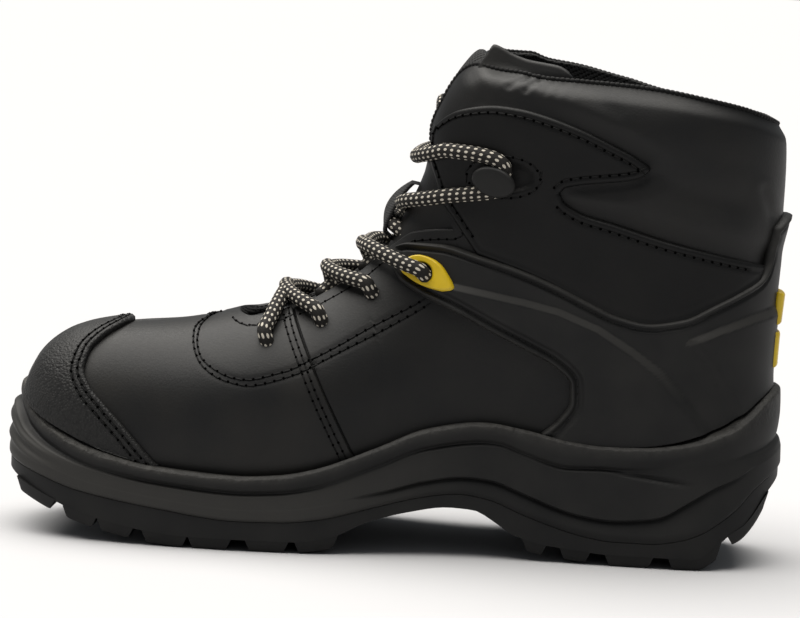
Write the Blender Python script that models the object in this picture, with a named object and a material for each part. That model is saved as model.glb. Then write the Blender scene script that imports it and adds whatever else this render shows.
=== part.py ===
"""Right work boot of ankle height, built from its last.

All sizes are in millimetres and turned to metres when a mesh is made. While the sizes are worked out, x runs
from the toe tip (0) to the heel, y to the lateral side and z up from the floor. The finished boot is moved so
that the middle of its length and width stands over the origin, with the toe toward -X and the medial side
toward -Y.
"""
import math

import bmesh
import bpy
import numpy as np

MM = 0.001
MEDIAL = -1
LATERAL = 1
SIDES = (MEDIAL, LATERAL)

# Overall sizes of the boot, European size 42.
SOLE_LENGTH = 305.0
UPPER_TOE_X = 6.0
UPPER_HEEL_X = 297.3
TOE_SWING = 9.0
TOE_SWING_START = 10.0
TOE_SWING_END = 130.0

# Walls and clearances.
UPPER_WALL = 2.6
VAMP_STEP = 0.9
COLLAR_PAD = 5.5
FIT = 0.45
SEAM_FIT = 0.6
OVERLAY_LIFT = 0.6
BUMPER_LIFT = 0.9
RIM_CLEAR = 1.3
CUP_CLEAR = 0.7
BUMPER_WALL = 2.0
COUNTER_WALL = 2.4
PANEL_WALL = 1.6
TRIM_WALL = 1.8
BLOCK_WALL = 2.4

# Front outline of the closed boot in side view, toe to tongue tip. Round is how far in from the outline the
# skin reaches its full width, fullness how square that shoulder is.
FRONT_COLUMNS = ("x", "z", "round", "fullness")
FRONT_ROWS = (
    (6.2, 28.0, 46.0, 2.4),
    (7.4, 49.0, 46.0, 2.4),
    (13.2, 65.0, 46.0, 2.4),
    (20.0, 72.6, 46.0, 2.4),
    (29.0, 77.6, 46.0, 2.4),
    (48.0, 81.6, 46.0, 2.3),
    (68.0, 83.6, 46.0, 2.3),
    (92.0, 89.6, 46.0, 2.3),
    (113.0, 97.0, 50.0, 2.2),
    (132.0, 108.6, 56.0, 2.2),
    (145.0, 120.0, 60.0, 2.3),
    (153.0, 134.0, 62.0, 2.5),
    (158.5, 148.0, 64.0, 2.7),
    (161.0, 163.0, 64.0, 2.9),
    (166.0, 177.0, 64.0, 3.0),
    (173.0, 188.0, 64.0, 3.0),
    (183.6, 201.0, 64.0, 3.0),
)

# Back outline of the upper.
BACK_COLUMNS = ("z", "x", "round")
BACK_ROWS = (
    (28.0, 295.5, 36.0),
    (45.0, 297.0, 36.0),
    (60.0, 297.6, 37.0),
    (90.0, 296.2, 40.0),
    (105.0, 295.8, 43.0),
    (120.0, 296.4, 47.0),
    (135.0, 297.2, 52.0),
    (150.0, 299.8, 56.0),
    (162.0, 300.6, 58.0),
    (170.0, 298.9, 58.0),
    (178.0, 293.8, 58.0),
)
BACK_FULLNESS = 2.2

# Half widths of the foot along its length, and of the shaft up its height.
PLAN_COLUMNS = ("x", "medial", "lateral")
PLAN_ROWS = (
    (5.0, 33.0, 42.0),
    (20.0, 34.0, 45.0),
    (40.0, 36.0, 49.5),
    (60.0, 40.0, 53.5),
    (80.0, 43.5, 55.5),
    (100.0, 45.8, 55.5),
    (120.0, 45.6, 53.5),
    (140.0, 42.0, 50.0),
    (160.0, 38.0, 46.0),
    (180.0, 35.2, 42.5),
    (200.0, 34.0, 40.0),
    (220.0, 34.0, 38.5),
    (240.0, 34.8, 37.8),
    (260.0, 35.2, 37.0),
    (305.0, 35.0, 36.0),
)
SHAFT_COLUMNS = ("z", "medial", "lateral")
SHAFT_ROWS = (
    (50.0, 36.0, 38.0),
    (90.0, 35.5, 37.0),
    (115.0, 37.0, 38.0),
    (135.0, 39.0, 40.0),
    (155.0, 41.0, 42.0),
    (175.0, 43.0, 44.0),
    (200.0, 43.5, 44.5),
)
ANKLE_LOW = 58.0
ANKLE_HIGH = 128.0
FEATHER_TUCK = 2.5
FEATHER_TUCK_HEIGHT = 16.0

# Lines along the sole. Bed is the floor of the cup, lip its rim, seam the top of the outsole, groove the line
# under the rim, wave the step low on the side and tread the underside of the lugs.
BED_COLUMNS = ("x", "z")
BED_ROWS = (
    (0.0, 34.0),
    (20.0, 28.0),
    (40.0, 24.0),
    (65.0, 21.2),
    (95.0, 20.5),
    (120.0, 22.0),
    (150.0, 27.0),
    (180.0, 32.0),
    (210.0, 35.5),
    (240.0, 37.5),
    (270.0, 38.0),
    (305.0, 38.0),
)
LIP_COLUMNS = ("x", "medial", "lateral")
LIP_ROWS = (
    (0.0, 52.0, 52.0),
    (8.0, 48.0, 48.0),
    (25.0, 40.0, 40.0),
    (41.0, 34.6, 34.6),
    (65.0, 30.4, 30.4),
    (96.0, 28.8, 28.8),
    (111.0, 29.8, 29.6),
    (126.0, 33.0, 32.0),
    (149.0, 41.8, 38.6),
    (168.0, 49.6, 44.6),
    (190.0, 52.8, 47.6),
    (204.0, 51.0, 47.4),
    (222.0, 47.3, 46.4),
    (235.0, 46.2, 46.0),
    (250.0, 46.5, 46.5),
    (264.0, 48.6, 48.6),
    (278.0, 53.0, 53.0),
    (286.0, 57.2, 57.2),
    (293.0, 63.5, 63.5),
    (300.0, 69.0, 69.0),
    (305.0, 70.0, 70.0),
)
SEAM_COLUMNS = ("x", "z")
SEAM_ROWS = (
    (0.0, 28.0),
    (18.5, 23.2),
    (34.0, 19.2),
    (65.0, 14.5),
    (96.0, 11.5),
    (112.0, 11.7),
    (127.0, 13.2),
    (150.0, 19.0),
    (166.0, 23.0),
    (180.0, 24.8),
    (192.0, 23.0),
    (204.0, 18.3),
    (216.0, 14.2),
    (228.0, 11.0),
    (240.0, 9.5),
    (254.0, 9.5),
    (266.0, 11.4),
    (274.0, 14.4),
    (281.0, 18.8),
    (288.0, 24.2),
    (294.0, 30.8),
    (305.0, 38.5),
)
TREAD_COLUMNS = ("x", "z", "depth")
TREAD_ROWS = (
    (0.0, 20.5, 3.6),
    (11.0, 15.5, 4.0),
    (22.0, 11.0, 4.2),
    (37.0, 6.0, 4.5),
    (50.0, 3.0, 4.5),
    (66.0, 0.7, 4.5),
    (78.0, 0.0, 4.5),
    (118.0, 0.0, 4.5),
    (127.0, 1.0, 4.5),
    (134.0, 2.6, 4.5),
    (140.0, 9.5, 0.5),
    (150.0, 14.2, 0.0),
    (162.0, 17.4, 0.0),
    (176.0, 19.6, 0.0),
    (186.0, 19.0, 0.0),
    (194.0, 15.0, 0.0),
    (200.0, 10.4, 0.5),
    (206.0, 4.8, 4.0),
    (212.0, 2.6, 4.5),
    (226.0, 1.0, 4.5),
    (238.0, 0.0, 4.5),
    (272.0, 0.0, 4.5),
    (281.0, 3.2, 4.5),
    (287.0, 8.0, 4.5),
    (293.0, 14.6, 4.5),
    (299.0, 22.0, 4.0),
    (305.0, 29.0, 3.6),
)

# Plan of the sole: margin outside the upper, and how far back the toe and heel curves reach.
SOLE_MARGIN = 5.0
SOLE_TOE_ROUND = 50.0
SOLE_TOE_FULLNESS = 2.4
SOLE_HEEL_ROUND = 40.0
SOLE_HEEL_FULLNESS = 2.2
SOLE_STATIONS = 28
OUTSOLE_INSET = 1.9

# Side of the midsole from the seam to the inside of the rim. Rise is the share of the height from seam to
# groove line, above is the height over the groove line in millimetres, out the offset from the plan line and
# wave what is added to it along the waist and heel.
GROOVE_SHARE = 0.62
GROOVE_DROP = 7.5
WALL_LEVELS = (
    ("foot", 0.0, 0.0, -2.3, 0.0),
    ("foot_edge", 0.10, 0.0, -1.3, 0.2),
    ("wave_low", 0.46, 0.0, -0.7, 0.9),
    ("wave_high", 0.56, 0.0, -0.7, -0.9),
    ("groove_low", 1.0, -1.3, -0.8, 0.0),
    ("groove", 1.0, 0.0, -2.4, 0.0),
    ("rim_low", 1.0, 1.3, -1.0, 0.0),
)
WAVE_START = 138.0
WAVE_FULL = 160.0
WAVE_FADE = 272.0
WAVE_END = 288.0
RIM_ROUND = 1.2
RIM_INSET = 2.5
INNER_ROWS = 3

# Lugs along each edge and between them, as start and end along the boot.
EDGE_LUGS = (
    (4.2, 22.8),
    (28.8, 38.6),
    (42.8, 53.4),
    (60.4, 74.2),
    (78.4, 91.6),
    (100.4, 113.4),
    (119.2, 133.6),
    (205.6, 214.2),
    (220.4, 231.2),
    (237.8, 255.4),
    (262.0, 281.0),
    (286.8, 300.8),
)
CENTRE_LUGS = (
    (14.0, 30.0),
    (36.0, 48.0),
    (54.0, 67.0),
    (73.0, 86.0),
    (92.0, 107.0),
    (113.0, 128.0),
    (213.0, 224.0),
    (230.0, 244.0),
    (250.0, 268.0),
    (274.0, 288.0),
)
CENTRE_SHARE = 0.36
CHANNEL_SHARE = 0.48
LUG_DRAFT = 0.9
TIP_STEP = 1.0
WAIST_CUTS = (140.0, 147.0, 155.0, 164.0, 173.0, 182.0, 190.0, 197.0, 203.0)

# Upper edge of the upper on each side. Throat rows go by the place along the front outline and the half gap,
# edge rows by place in side view; base is the place along the sole where that line of the mesh starts.
TOE_CROWN_X = 27.0
CAP_X = 48.0
TOE_BASE_X = 34.0
TOE_LINE_EASE = 1.2
THROAT_TIP_X = 90.0
VAMP_ROW = 5
THROAT_COLUMNS = ("ridge_x", "half_gap", "base_x", "steps")
THROAT_ROWS = (
    (90.0, 0.0, 92.0, 0),
    (91.2, 9.0, 96.0, 1),
    (96.0, 16.0, 103.0, 2),
    (104.0, 18.0, 118.0, 2),
    (109.4, 17.4, 139.6, 3),
    (110.0, 17.3, 140.4, 1),
    (121.0, 15.6, 152.0, 2),
    (134.0, 15.0, 164.0, 2),
)
EDGE_COLUMNS = ("x", "z", "base_x", "steps")
EDGE_ROWS = (
    (149.5, 119.0, 175.0, 2),
    (156.0, 123.2, 181.0, 1),
    (166.0, 124.8, 187.0, 1),
    (174.5, 125.4, 194.0, 1),
    (171.8, 133.5, 213.0, 1),
    (167.0, 142.0, 231.0, 2),
    (163.8, 152.0, 239.0, 1),
    (163.6, 163.0, 245.0, 1),
    (167.4, 176.0, 251.0, 2),
    (174.0, 186.0, 256.0, 2),
    (182.0, 189.4, 259.0, 1),
    (200.0, 187.6, 263.0, 1),
    (226.0, 185.2, 267.0, 1),
    (250.0, 183.3, 271.0, 1),
)
COLLAR_COLUMNS = ("x", "z")
COLLAR_ROWS = (
    (182.0, 189.4),
    (200.0, 187.6),
    (226.0, 185.2),
    (250.0, 183.3),
    (270.0, 180.6),
    (283.0, 177.4),
    (300.0, 173.6),
)
COLLAR_BACK_X = 296.0
BACK_STEPS = 8
UPPER_ROWS = 8
TOE_LINES = 8
VAMP_LINES = 7
CROWN_BIAS = 1.8
CROWN_BIAS_LINES = 3.0
EDGE_BIAS = 1.6
RISE_FROM = 140.0
LATERAL_RISE_COLUMNS = ("x", "rise")
LATERAL_RISE_ROWS = (
    (160.0, 5.0),
    (190.0, 5.0),
    (212.0, 1.4),
    (235.0, -2.2),
    (258.0, -3.6),
    (280.0, -2.4),
    (294.0, 0.0),
)
RISE_LEAN = 0.75
RISE_LEAN_FRONT = 178.0
RISE_LEAN_BACK = 205.0
RIM_CROWN = 0.35

# Padding of the collar: how far behind its front edge and above which height it fills.
PAD_FRONT = 178.0
PAD_FULL = 205.0
PAD_LOW = 138.0
PAD_HIGH = 162.0

# Toe bumper: hoops from the rim to the crown, by their height on the front outline and their end at the side.
BUMPER_COLUMNS = ("ridge_z", "x", "z", "steps")
BUMPER_ROWS = (
    (45.0, 62.0, 30.0, 0),
    (57.0, 55.0, 38.0, 2),
    (65.5, 47.6, 45.6, 2),
    (71.6, 40.6, 52.6, 2),
    (75.4, 35.4, 59.0, 2),
    (77.6, 33.4, 65.0, 2),
    (79.4, 35.2, 71.0, 2),
    (80.5, 39.6, 76.4, 1),
    (81.1, 43.4, 79.2, 1),
)
BUMPER_BIAS = 1.7
BUMPER_FADE = 2.0
BUMPER_ROWS_ACROSS = 8

# Heel counter: lower and upper edge from the arm's tip to the back. Its last lines lean with the back.
COUNTER_COLUMNS = ("low_x", "low_z", "top_x", "top_z", "steps")
COUNTER_ARM_ROWS = (
    (150.0, 111.0, 151.6, 118.6, 0),
    (153.0, 105.2, 157.0, 121.2, 1),
    (162.0, 100.0, 169.0, 122.0, 2),
    (176.0, 93.3, 184.0, 119.2, 2),
    (190.0, 86.1, 200.0, 114.4, 2),
    (203.0, 79.6, 215.0, 108.6, 2),
    (214.0, 74.2, 227.0, 102.8, 2),
    (220.0, 68.6, 236.0, 98.6, 1),
    (220.4, 62.4, 242.0, 96.4, 1),
    (216.4, 55.6, 247.0, 95.2, 1),
)
COUNTER_CUP_COLUMNS = ("low_x", "top_x", "top_z", "steps")
COUNTER_CUP_ROWS = (
    (210.6, 251.5, 94.9, 1),
    (226.0, 260.0, 96.2, 2),
    (244.0, 270.0, 101.0, 2),
    (262.0, 279.0, 106.4, 2),
    (277.0, 286.0, 111.4, 2),
    (287.0, 290.6, 116.4, 2),
    (293.0, 293.4, 124.0, 2),
    (296.0, 295.6, 132.0, 1),
)
COUNTER_BACK_TOP = 137.0
COUNTER_LIP_FLARE = 2.2
COUNTER_FLARE_LOW = 120.0
COUNTER_FLARE_FRONT = 284.0
COUNTER_FLARE_BACK = 296.0
COUNTER_LEAN = ((-1, 1.0), (-2, 0.9), (-3, 0.7), (-4, 0.4))
COUNTER_ROWS_UP = 3

# Ankle panel: the belt above the counter and the beak over the notch share a line up to the notch.
BELT_COLUMNS = ("low_x", "low_z", "mid_x", "mid_z", "steps")
BELT_ROWS = (
    (183.0, 120.9, 172.0, 137.0, 0),
    (190.0, 118.9, 180.0, 140.0, 2),
    (200.0, 115.7, 194.0, 142.6, 2),
    (210.0, 111.9, 209.0, 144.6, 2),
    (220.0, 107.6, 219.0, 139.4, 2),
    (234.0, 100.8, 234.0, 134.4, 1),
    (250.0, 96.4, 252.0, 129.8, 1),
    (262.0, 98.4, 266.0, 126.6, 1),
    (272.0, 103.4, 277.0, 124.2, 1),
    (282.0, 109.4, 286.0, 122.4, 1),
)
BEAK_COLUMNS = ("mid_x", "mid_z", "top_x", "top_z", "steps")
BEAK_ROWS = (
    (172.0, 137.0, 166.6, 152.0, 0),
    (180.0, 140.0, 166.6, 162.0, 2),
    (194.0, 142.6, 174.0, 171.6, 2),
    (209.0, 144.6, 187.0, 174.0, 2),
    (214.5, 148.6, 204.0, 171.2, 2),
    (224.0, 149.6, 219.0, 167.0, 1),
    (234.0, 150.6, 231.0, 162.2, 1),
    (240.6, 152.0, 240.0, 157.4, 1),
)
PANEL_ROWS_UP = 3
PANEL_WINDOW = (190.0, 146.0, 14.5, 7.5)
WINDOW_DEPTH = 12.0

# Tongue: place along the front outline, half width and padding.
TONGUE_COLUMNS = ("ridge_x", "half_width", "pad")
TONGUE_ROWS = (
    (84.0, 12.0, 2.4),
    (100.0, 25.0, 4.0),
    (120.0, 25.0, 6.0),
    (140.0, 26.0, 7.0),
    (152.0, 30.0, 7.0),
    (160.0, 31.0, 7.0),
    (168.0, 30.0, 7.5),
    (182.8, 24.0, 6.5),
)
TONGUE_STATIONS = 12
TONGUE_ACROSS = 5
TONGUE_EDGE_SHARE = 0.35
TONGUE_TAPER = 3.0
TONGUE_CLEAR = 1.3

# Webbing loop on the tongue.
LOOP_LOW_X = 143.0
LOOP_HIGH_X = 155.0
LOOP_HALF_WIDTH = 8.0
LOOP_STAND = 9.4
LOOP_FOOT = 0.75
LOOP_WALL = 1.3
LOOP_STEPS = 12
LOOP_ROUND = 0.7

# Lace: the eyelets by their place along the front outline and how far down the side they lie.
LACE_RADIUS = 2.6
LACE_SIDES = 6
LACE_STEPS = 4
EYELET_COLUMNS = ("ridge_x", "down")
EYELET_ROWS = (
    (97.0, 13.5),
    (115.0, 12.6),
    (132.5, 12.0),
    (147.0, 20.0),
)
CROSSING_RIDGE_X = (108.5, 125.0, 139.0)
LACE_CLEAR = 0.6
LACE_BEND = 1.6
LACE_LIFT_SHARE = 0.5
LACE_UNDER_LIFT = -1.4
LACE_UNDER_HALF = 11.0
LACE_UNDER_X = (119.0, 135.0, 145.5)
HOOK_REACH = 12.6
HOOK_SPREAD = 3.5
HOOK_PLACE = (188.6, 145.5)
LOOP_CROSS_X = 149.0
LOOP_CROSS_LIFT = 0.4
TOP_BAR_RIDGE_X = 159.6

# Yellow trims. The outline holds places in side view, the hole its centre and radius.
TRIM_OUTLINE = (
    (154.2, 109.4),
    (156.0, 113.2),
    (159.6, 115.4),
    (163.6, 115.6),
    (167.8, 114.0),
    (171.0, 110.6),
    (174.2, 105.2),
    (170.6, 103.4),
    (165.4, 103.8),
    (160.4, 105.2),
    (156.6, 107.2),
)
TRIM_HOLE = (163.2, 109.6, 2.9)
HEEL_BLOCKS = (("heel_block_upper", 93.4, 105.0), ("heel_block_lower", 76.6, 89.0))
HEEL_BLOCK_HALF_WIDTH = 11.0
HEEL_BLOCK_STEPS = 6
HEEL_BLOCK_ROWS = 2

# Lace hooks. Foot levels hold flange and height, cap levels share of the cap's radius and height.
HOOK_POST_RADIUS = 2.6
HOOK_POST_HEIGHT = 5.1
HOOK_CAP_RADIUS = (9.0, 6.6)
HOOK_FOOT_LEVELS = ((1.6, 0.0), (1.6, 0.7), (0.0, 1.0))
HOOK_CAP_LEVELS = ((1.0, 0.4), (1.0, 1.2), (0.85, 2.1), (0.45, 2.6))
HOOK_SEGMENTS = 12

# Insole.
INSOLE_CLEAR = 0.6
INSOLE_LOW_EDGE = 1.0
INSOLE_TOP_EDGE = 0.5
INSOLE_THICKNESS = 4.0
INSOLE_STATIONS = 22

OUTLINE_SAMPLES = 700
NORMAL_STEP = 0.5
ON_OUTLINE = 0.02
TINY = 1e-9
WELD = 1e-5


def smoothstep(low, high, value):
    """Share from 0 to 1 that rises smoothly between two limits."""
    share = np.clip((np.asarray(value, float) - low) / (high - low), 0.0, 1.0)
    return share * share * (3.0 - 2.0 * share)


def smooth_read(keys, values, at):
    """Read a monotone cubic curve through the given points."""
    keys = np.asarray(keys, float)
    values = np.asarray(values, float)
    gaps = np.diff(keys)
    slopes = np.diff(values) / gaps
    product = slopes[1:] * slopes[:-1]
    total = slopes[1:] + slopes[:-1]
    safe = np.where(np.abs(total) > TINY, total, 1.0)
    inner = np.where(product > 0.0, 2.0 * product / safe, 0.0)
    tangents = np.concatenate([[slopes[0]], inner, [slopes[-1]]])
    at = np.clip(np.asarray(at, float), keys[0], keys[-1])
    cell = np.clip(np.searchsorted(keys, at, side="right") - 1, 0, len(gaps) - 1)
    width = gaps[cell]
    share = (at - keys[cell]) / width
    square = share * share
    cube = square * share
    return (
        (2.0 * cube - 3.0 * square + 1.0) * values[cell]
        + (cube - 2.0 * square + share) * width * tangents[cell]
        + (3.0 * square - 2.0 * cube) * values[cell + 1]
        + (cube - square) * width * tangents[cell + 1]
    )


class Table:
    """Rows of named sizes."""

    def __init__(self, columns, rows):
        self.names = columns
        self.data = {name: np.array([row[i] for row in rows], float) for i, name in enumerate(columns)}

    def read(self, column, at):
        """Read a column on a smooth curve over the first column."""
        return smooth_read(self.data[self.names[0]], self.data[column], at)

    def stretch(self, columns, shares):
        """Read several columns at shares of the way through the rows."""
        index = np.arange(len(self.data[columns[0]]))
        return [smooth_read(index, self.data[name], shares) for name in columns]

    def stations(self):
        """Places between the rows, counted by the steps column."""
        places = [0.0]
        for row, steps in enumerate(self.data["steps"]):
            for step in range(int(steps)):
                places.append(row - 1 + (step + 1) / steps)
        return np.array(places)


FRONT = Table(FRONT_COLUMNS, FRONT_ROWS)
BACK = Table(BACK_COLUMNS, BACK_ROWS)
PLAN = Table(PLAN_COLUMNS, PLAN_ROWS)
SHAFT = Table(SHAFT_COLUMNS, SHAFT_ROWS)
BED = Table(BED_COLUMNS, BED_ROWS)
LIP = Table(LIP_COLUMNS, LIP_ROWS)
SEAM = Table(SEAM_COLUMNS, SEAM_ROWS)
TREAD = Table(TREAD_COLUMNS, TREAD_ROWS)
COLLAR = Table(COLLAR_COLUMNS, COLLAR_ROWS)
LATERAL_RISE = Table(LATERAL_RISE_COLUMNS, LATERAL_RISE_ROWS)
TONGUE = Table(TONGUE_COLUMNS, TONGUE_ROWS)
EYELETS = Table(EYELET_COLUMNS, EYELET_ROWS)
SIDE_NAME = {MEDIAL: "medial", LATERAL: "lateral"}


class Outline:
    """The front outline as a fine line with its inward normals."""

    def __init__(self):
        chords = np.hypot(np.diff(FRONT.data["x"]), np.diff(FRONT.data["z"]))
        keys = np.concatenate([[0.0], np.cumsum(chords)])
        self.length = keys[-1]
        self.place = np.linspace(0.0, self.length, OUTLINE_SAMPLES)
        self.x, self.z, self.round, self.fullness = [
            smooth_read(keys, FRONT.data[name], self.place) for name in FRONT_COLUMNS
        ]
        slope_x = np.gradient(self.x, self.place)
        slope_z = np.gradient(self.z, self.place)
        size = np.hypot(slope_x, slope_z)
        self.in_x = slope_z / size
        self.in_z = -slope_x / size

    def near(self, x, z):
        """Depth inside the outline, and the round, fullness and inward normal at the nearest place."""
        x = np.atleast_1d(np.asarray(x, float))
        z = np.atleast_1d(np.asarray(z, float))
        far = (x[:, None] - self.x[None, :]) ** 2 + (z[:, None] - self.z[None, :]) ** 2
        spot = np.argmin(far, axis=1)
        depth = (x - self.x[spot]) * self.in_x[spot] + (z - self.z[spot]) * self.in_z[spot]
        depth = np.where(depth < ON_OUTLINE, 0.0, depth)
        return depth, self.round[spot], self.fullness[spot], self.in_x[spot], self.in_z[spot]

    def at_x(self, x):
        """Point, normal, round and fullness where the outline passes a place along the boot."""
        place = np.interp(x, self.x, self.place)
        return [
            np.interp(place, self.place, values)
            for values in (self.x, self.z, self.in_x, self.in_z, self.round, self.fullness)
        ]

    def x_at_height(self, z):
        """Place along the boot where the outline reaches a height."""
        return np.interp(z, self.z, self.x)


OUTLINE = Outline()


def axis_y(x):
    """Sideways place of the boot's middle plane, which swings to the medial side at the toe."""
    return MEDIAL * TOE_SWING * (1.0 - smoothstep(TOE_SWING_START, TOE_SWING_END, x))


def full_width(x, z, side):
    """Half width of the last before its shoulders are rounded."""
    name = SIDE_NAME[side]
    blend = smoothstep(ANKLE_LOW, ANKLE_HIGH, z)
    width = PLAN.read(name, x) * (1.0 - blend) + SHAFT.read(name, z) * blend
    over_bed = np.asarray(z, float) - BED.read("z", x)
    return width - FEATHER_TUCK * (1.0 - smoothstep(0.0, FEATHER_TUCK_HEIGHT, over_bed))


def slope(function, at):
    """Rate of change of a function at a place."""
    return (function(at + NORMAL_STEP) - function(at - NORMAL_STEP)) / (2.0 * NORMAL_STEP)


def skin(x, z, side, offset=0.0):
    """Points of the last's skin at places in side view, moved outward by an offset."""
    x = np.atleast_1d(np.asarray(x, float))
    z = np.atleast_1d(np.asarray(z, float))
    depth, front_round, front_full, in_x, in_z = OUTLINE.near(x, z)
    back_round = BACK.read("round", z)
    back_depth = BACK.read("x", z) - x
    back_depth = np.where(back_depth < ON_OUTLINE, 0.0, back_depth)
    front_left = np.clip(1.0 - depth / front_round, 0.0, 1.0)
    back_left = np.clip(1.0 - back_depth / back_round, 0.0, 1.0)
    front_term = front_left**front_full
    back_term = back_left**BACK_FULLNESS
    weight = back_term / np.maximum(front_term + back_term, TINY)
    power = front_full + (BACK_FULLNESS - front_full) * weight
    reach = np.clip(1.0 - front_term - back_term, 0.0, 1.0) ** (1.0 / power)
    width = full_width(x, z, side)
    points = np.stack([x, axis_y(x) + side * width * reach, z], axis=1)
    width_x = slope(lambda place: full_width(place, z, side), x)
    width_z = slope(lambda height: full_width(x, height, side), z)
    axis_x = slope(axis_y, x)
    back_slope = slope(lambda height: BACK.read("x", height), z)
    front_pull = front_full * front_left ** (front_full - 1.0) / front_round
    back_pull = BACK_FULLNESS * back_left ** (BACK_FULLNESS - 1.0) / back_round
    side_pull = power * reach ** (power - 1.0) / width
    spread = power * reach**power / width
    normal = np.stack(
        [
            -front_pull * in_x + back_pull - spread * width_x - side_pull * side * axis_x,
            side * side_pull,
            -front_pull * in_z - back_pull * back_slope - spread * width_z,
        ],
        axis=1,
    )
    normal /= np.linalg.norm(normal, axis=1)[:, None]
    return points + normal * np.reshape(offset, (-1, 1))


def crown(ridge_x, half, side):
    """Place in side view that lies a half gap away from the middle, beside a place on the front outline."""
    x, z, in_x, in_z, front_round, fullness = OUTLINE.at_x(ridge_x)
    share = np.clip(np.asarray(half, float) / full_width(x, z, side), 0.0, 1.0)
    depth = front_round * (1.0 - (1.0 - share**fullness) ** (1.0 / fullness))
    return x + in_x * depth, z + in_z * depth


def collar_rise(x, z, side):
    """Lift of the lateral collar, which stands higher at the front and dips behind the ankle bone."""
    if side == MEDIAL:
        return np.zeros_like(np.asarray(z, float))
    share = smoothstep(RISE_FROM, COLLAR_ROWS[0][1], z)
    return share * LATERAL_RISE.read("rise", x)


def sole_place(x):
    """Place along the sole that goes with a place along the upper, which is shorter."""
    return (np.asarray(x, float) - UPPER_TOE_X) / (UPPER_HEEL_X - UPPER_TOE_X) * SOLE_LENGTH


def lip_z(place, side):
    """Height of the sole's rim."""
    return LIP.read(SIDE_NAME[side], place)


def above_rim(x, side):
    """Lower edge of what stands over the sole's rim, at a place along the upper."""
    return lip_z(sole_place(x), side) + RIM_CLEAR


def bed_z(x):
    """Floor of the cup at a place along the upper."""
    return BED.read("z", sole_place(x))


def seam_z(x):
    """Top of the outsole, straight between the stations of the sole."""
    places = SOLE_LENGTH * station_shares()
    return np.interp(x, places, SEAM.read("z", places))


def station_shares():
    """Stations along the sole, closer at toe and heel."""
    return (1.0 - np.cos(np.linspace(0.0, math.pi, SOLE_STATIONS + 1))) / 2.0


class Mesh:
    """Vertices and faces gathered for one solid."""

    def __init__(self):
        self.points = []
        self.faces = []

    def grid(self, rows):
        """Add a grid of points without faces and give back the index of each."""
        rows = np.asarray(rows, float)
        first = len(self.points)
        self.points.extend(rows.reshape(-1, 3))
        return np.arange(first, len(self.points)).reshape(rows.shape[:2])

    def skin_grid(self, index, wrap=False):
        """Join a grid of points with four-sided faces."""
        columns = range(index.shape[0] if wrap else index.shape[0] - 1)
        for column in columns:
            after = (column + 1) % index.shape[0]
            for row in range(index.shape[1] - 1):
                self.faces.append(
                    (index[column][row], index[after][row], index[after][row + 1], index[column][row + 1])
                )

    def strip(self, first, second, wrap=False):
        """Join two lines of points."""
        self.skin_grid(np.stack([first, second], axis=1), wrap)

    def cap(self, loop):
        """Close a loop of points with one face."""
        self.faces.append(tuple(loop))


def material(name, colour, rough):
    """Plain coloured material of one piece."""
    made = bpy.data.materials.new(name)
    made.use_nodes = True
    shader = made.node_tree.nodes["Principled BSDF"]
    shader.inputs["Base Color"].default_value = (*colour, 1.0)
    shader.inputs["Roughness"].default_value = rough
    made.diffuse_color = (*colour, 1.0)
    return made


BLACK_LEATHER = ((0.028, 0.027, 0.025), 0.55)
BLACK_RUBBER = ((0.022, 0.022, 0.022), 0.7)
BLACK_PLASTIC = ((0.03, 0.03, 0.03), 0.5)
BLACK_CLOTH = ((0.035, 0.035, 0.035), 0.9)
YELLOW_PLASTIC = ((0.72, 0.6, 0.06), 0.4)


def make_object(name, mesh, finish):
    """Weld the gathered mesh into one closed solid in metres, over the origin."""
    data = bpy.data.meshes.new(name)
    centre_y = sole_middle_y()
    shift = np.array([-SOLE_LENGTH / 2.0, -centre_y, 0.0])
    points = (np.array(mesh.points) + shift) * MM
    faces = [tuple(int(corner) for corner in face) for face in mesh.faces]
    data.from_pydata([tuple(point) for point in points], [], faces)
    work = bmesh.new()
    work.from_mesh(data)
    bmesh.ops.remove_doubles(work, verts=work.verts, dist=WELD)
    bmesh.ops.dissolve_degenerate(work, edges=work.edges, dist=WELD)
    bmesh.ops.triangulate(work, faces=work.faces)
    bmesh.ops.recalc_face_normals(work, faces=work.faces)
    for face in work.faces:
        face.smooth = True
    work.to_mesh(data)
    work.free()
    piece = bpy.data.objects.new(name, data)
    bpy.context.scene.collection.objects.link(piece)
    data.materials.append(material(name, *finish))
    return piece


def boolean(piece, cutter, operation):
    """Join or cut a solid with another one, which is then taken away."""
    step = piece.modifiers.new(operation.lower(), "BOOLEAN")
    step.operation = operation
    step.solver = "EXACT"
    step.object = cutter
    bpy.context.view_layer.update()
    shape = bpy.data.meshes.new_from_object(piece.evaluated_get(bpy.context.evaluated_depsgraph_get()))
    piece.modifiers.clear()
    piece.data = shape
    bpy.data.objects.remove(cutter)
    for face in shape.polygons:
        face.use_smooth = True


def sole_half(x, side):
    """Half width of the sole's plan from the middle plane."""
    x = np.asarray(x, float)
    toe = np.clip(1.0 - x / SOLE_TOE_ROUND, 0.0, 1.0) ** SOLE_TOE_FULLNESS
    heel = np.clip(1.0 - (SOLE_LENGTH - x) / SOLE_HEEL_ROUND, 0.0, 1.0) ** SOLE_HEEL_FULLNESS
    reach = np.clip(1.0 - toe, 0.0, 1.0) ** (1.0 / SOLE_TOE_FULLNESS)
    reach = reach * np.clip(1.0 - heel, 0.0, 1.0) ** (1.0 / SOLE_HEEL_FULLNESS)
    return (PLAN.read(SIDE_NAME[side], x) + SOLE_MARGIN) * reach


def sole_middle_y():
    """Middle of the sole's width."""
    x = np.linspace(0.0, SOLE_LENGTH, OUTLINE_SAMPLES)
    low = np.min(axis_y(x) - sole_half(x, MEDIAL))
    high = np.max(axis_y(x) + sole_half(x, LATERAL))
    return (low + high) / 2.0


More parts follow.
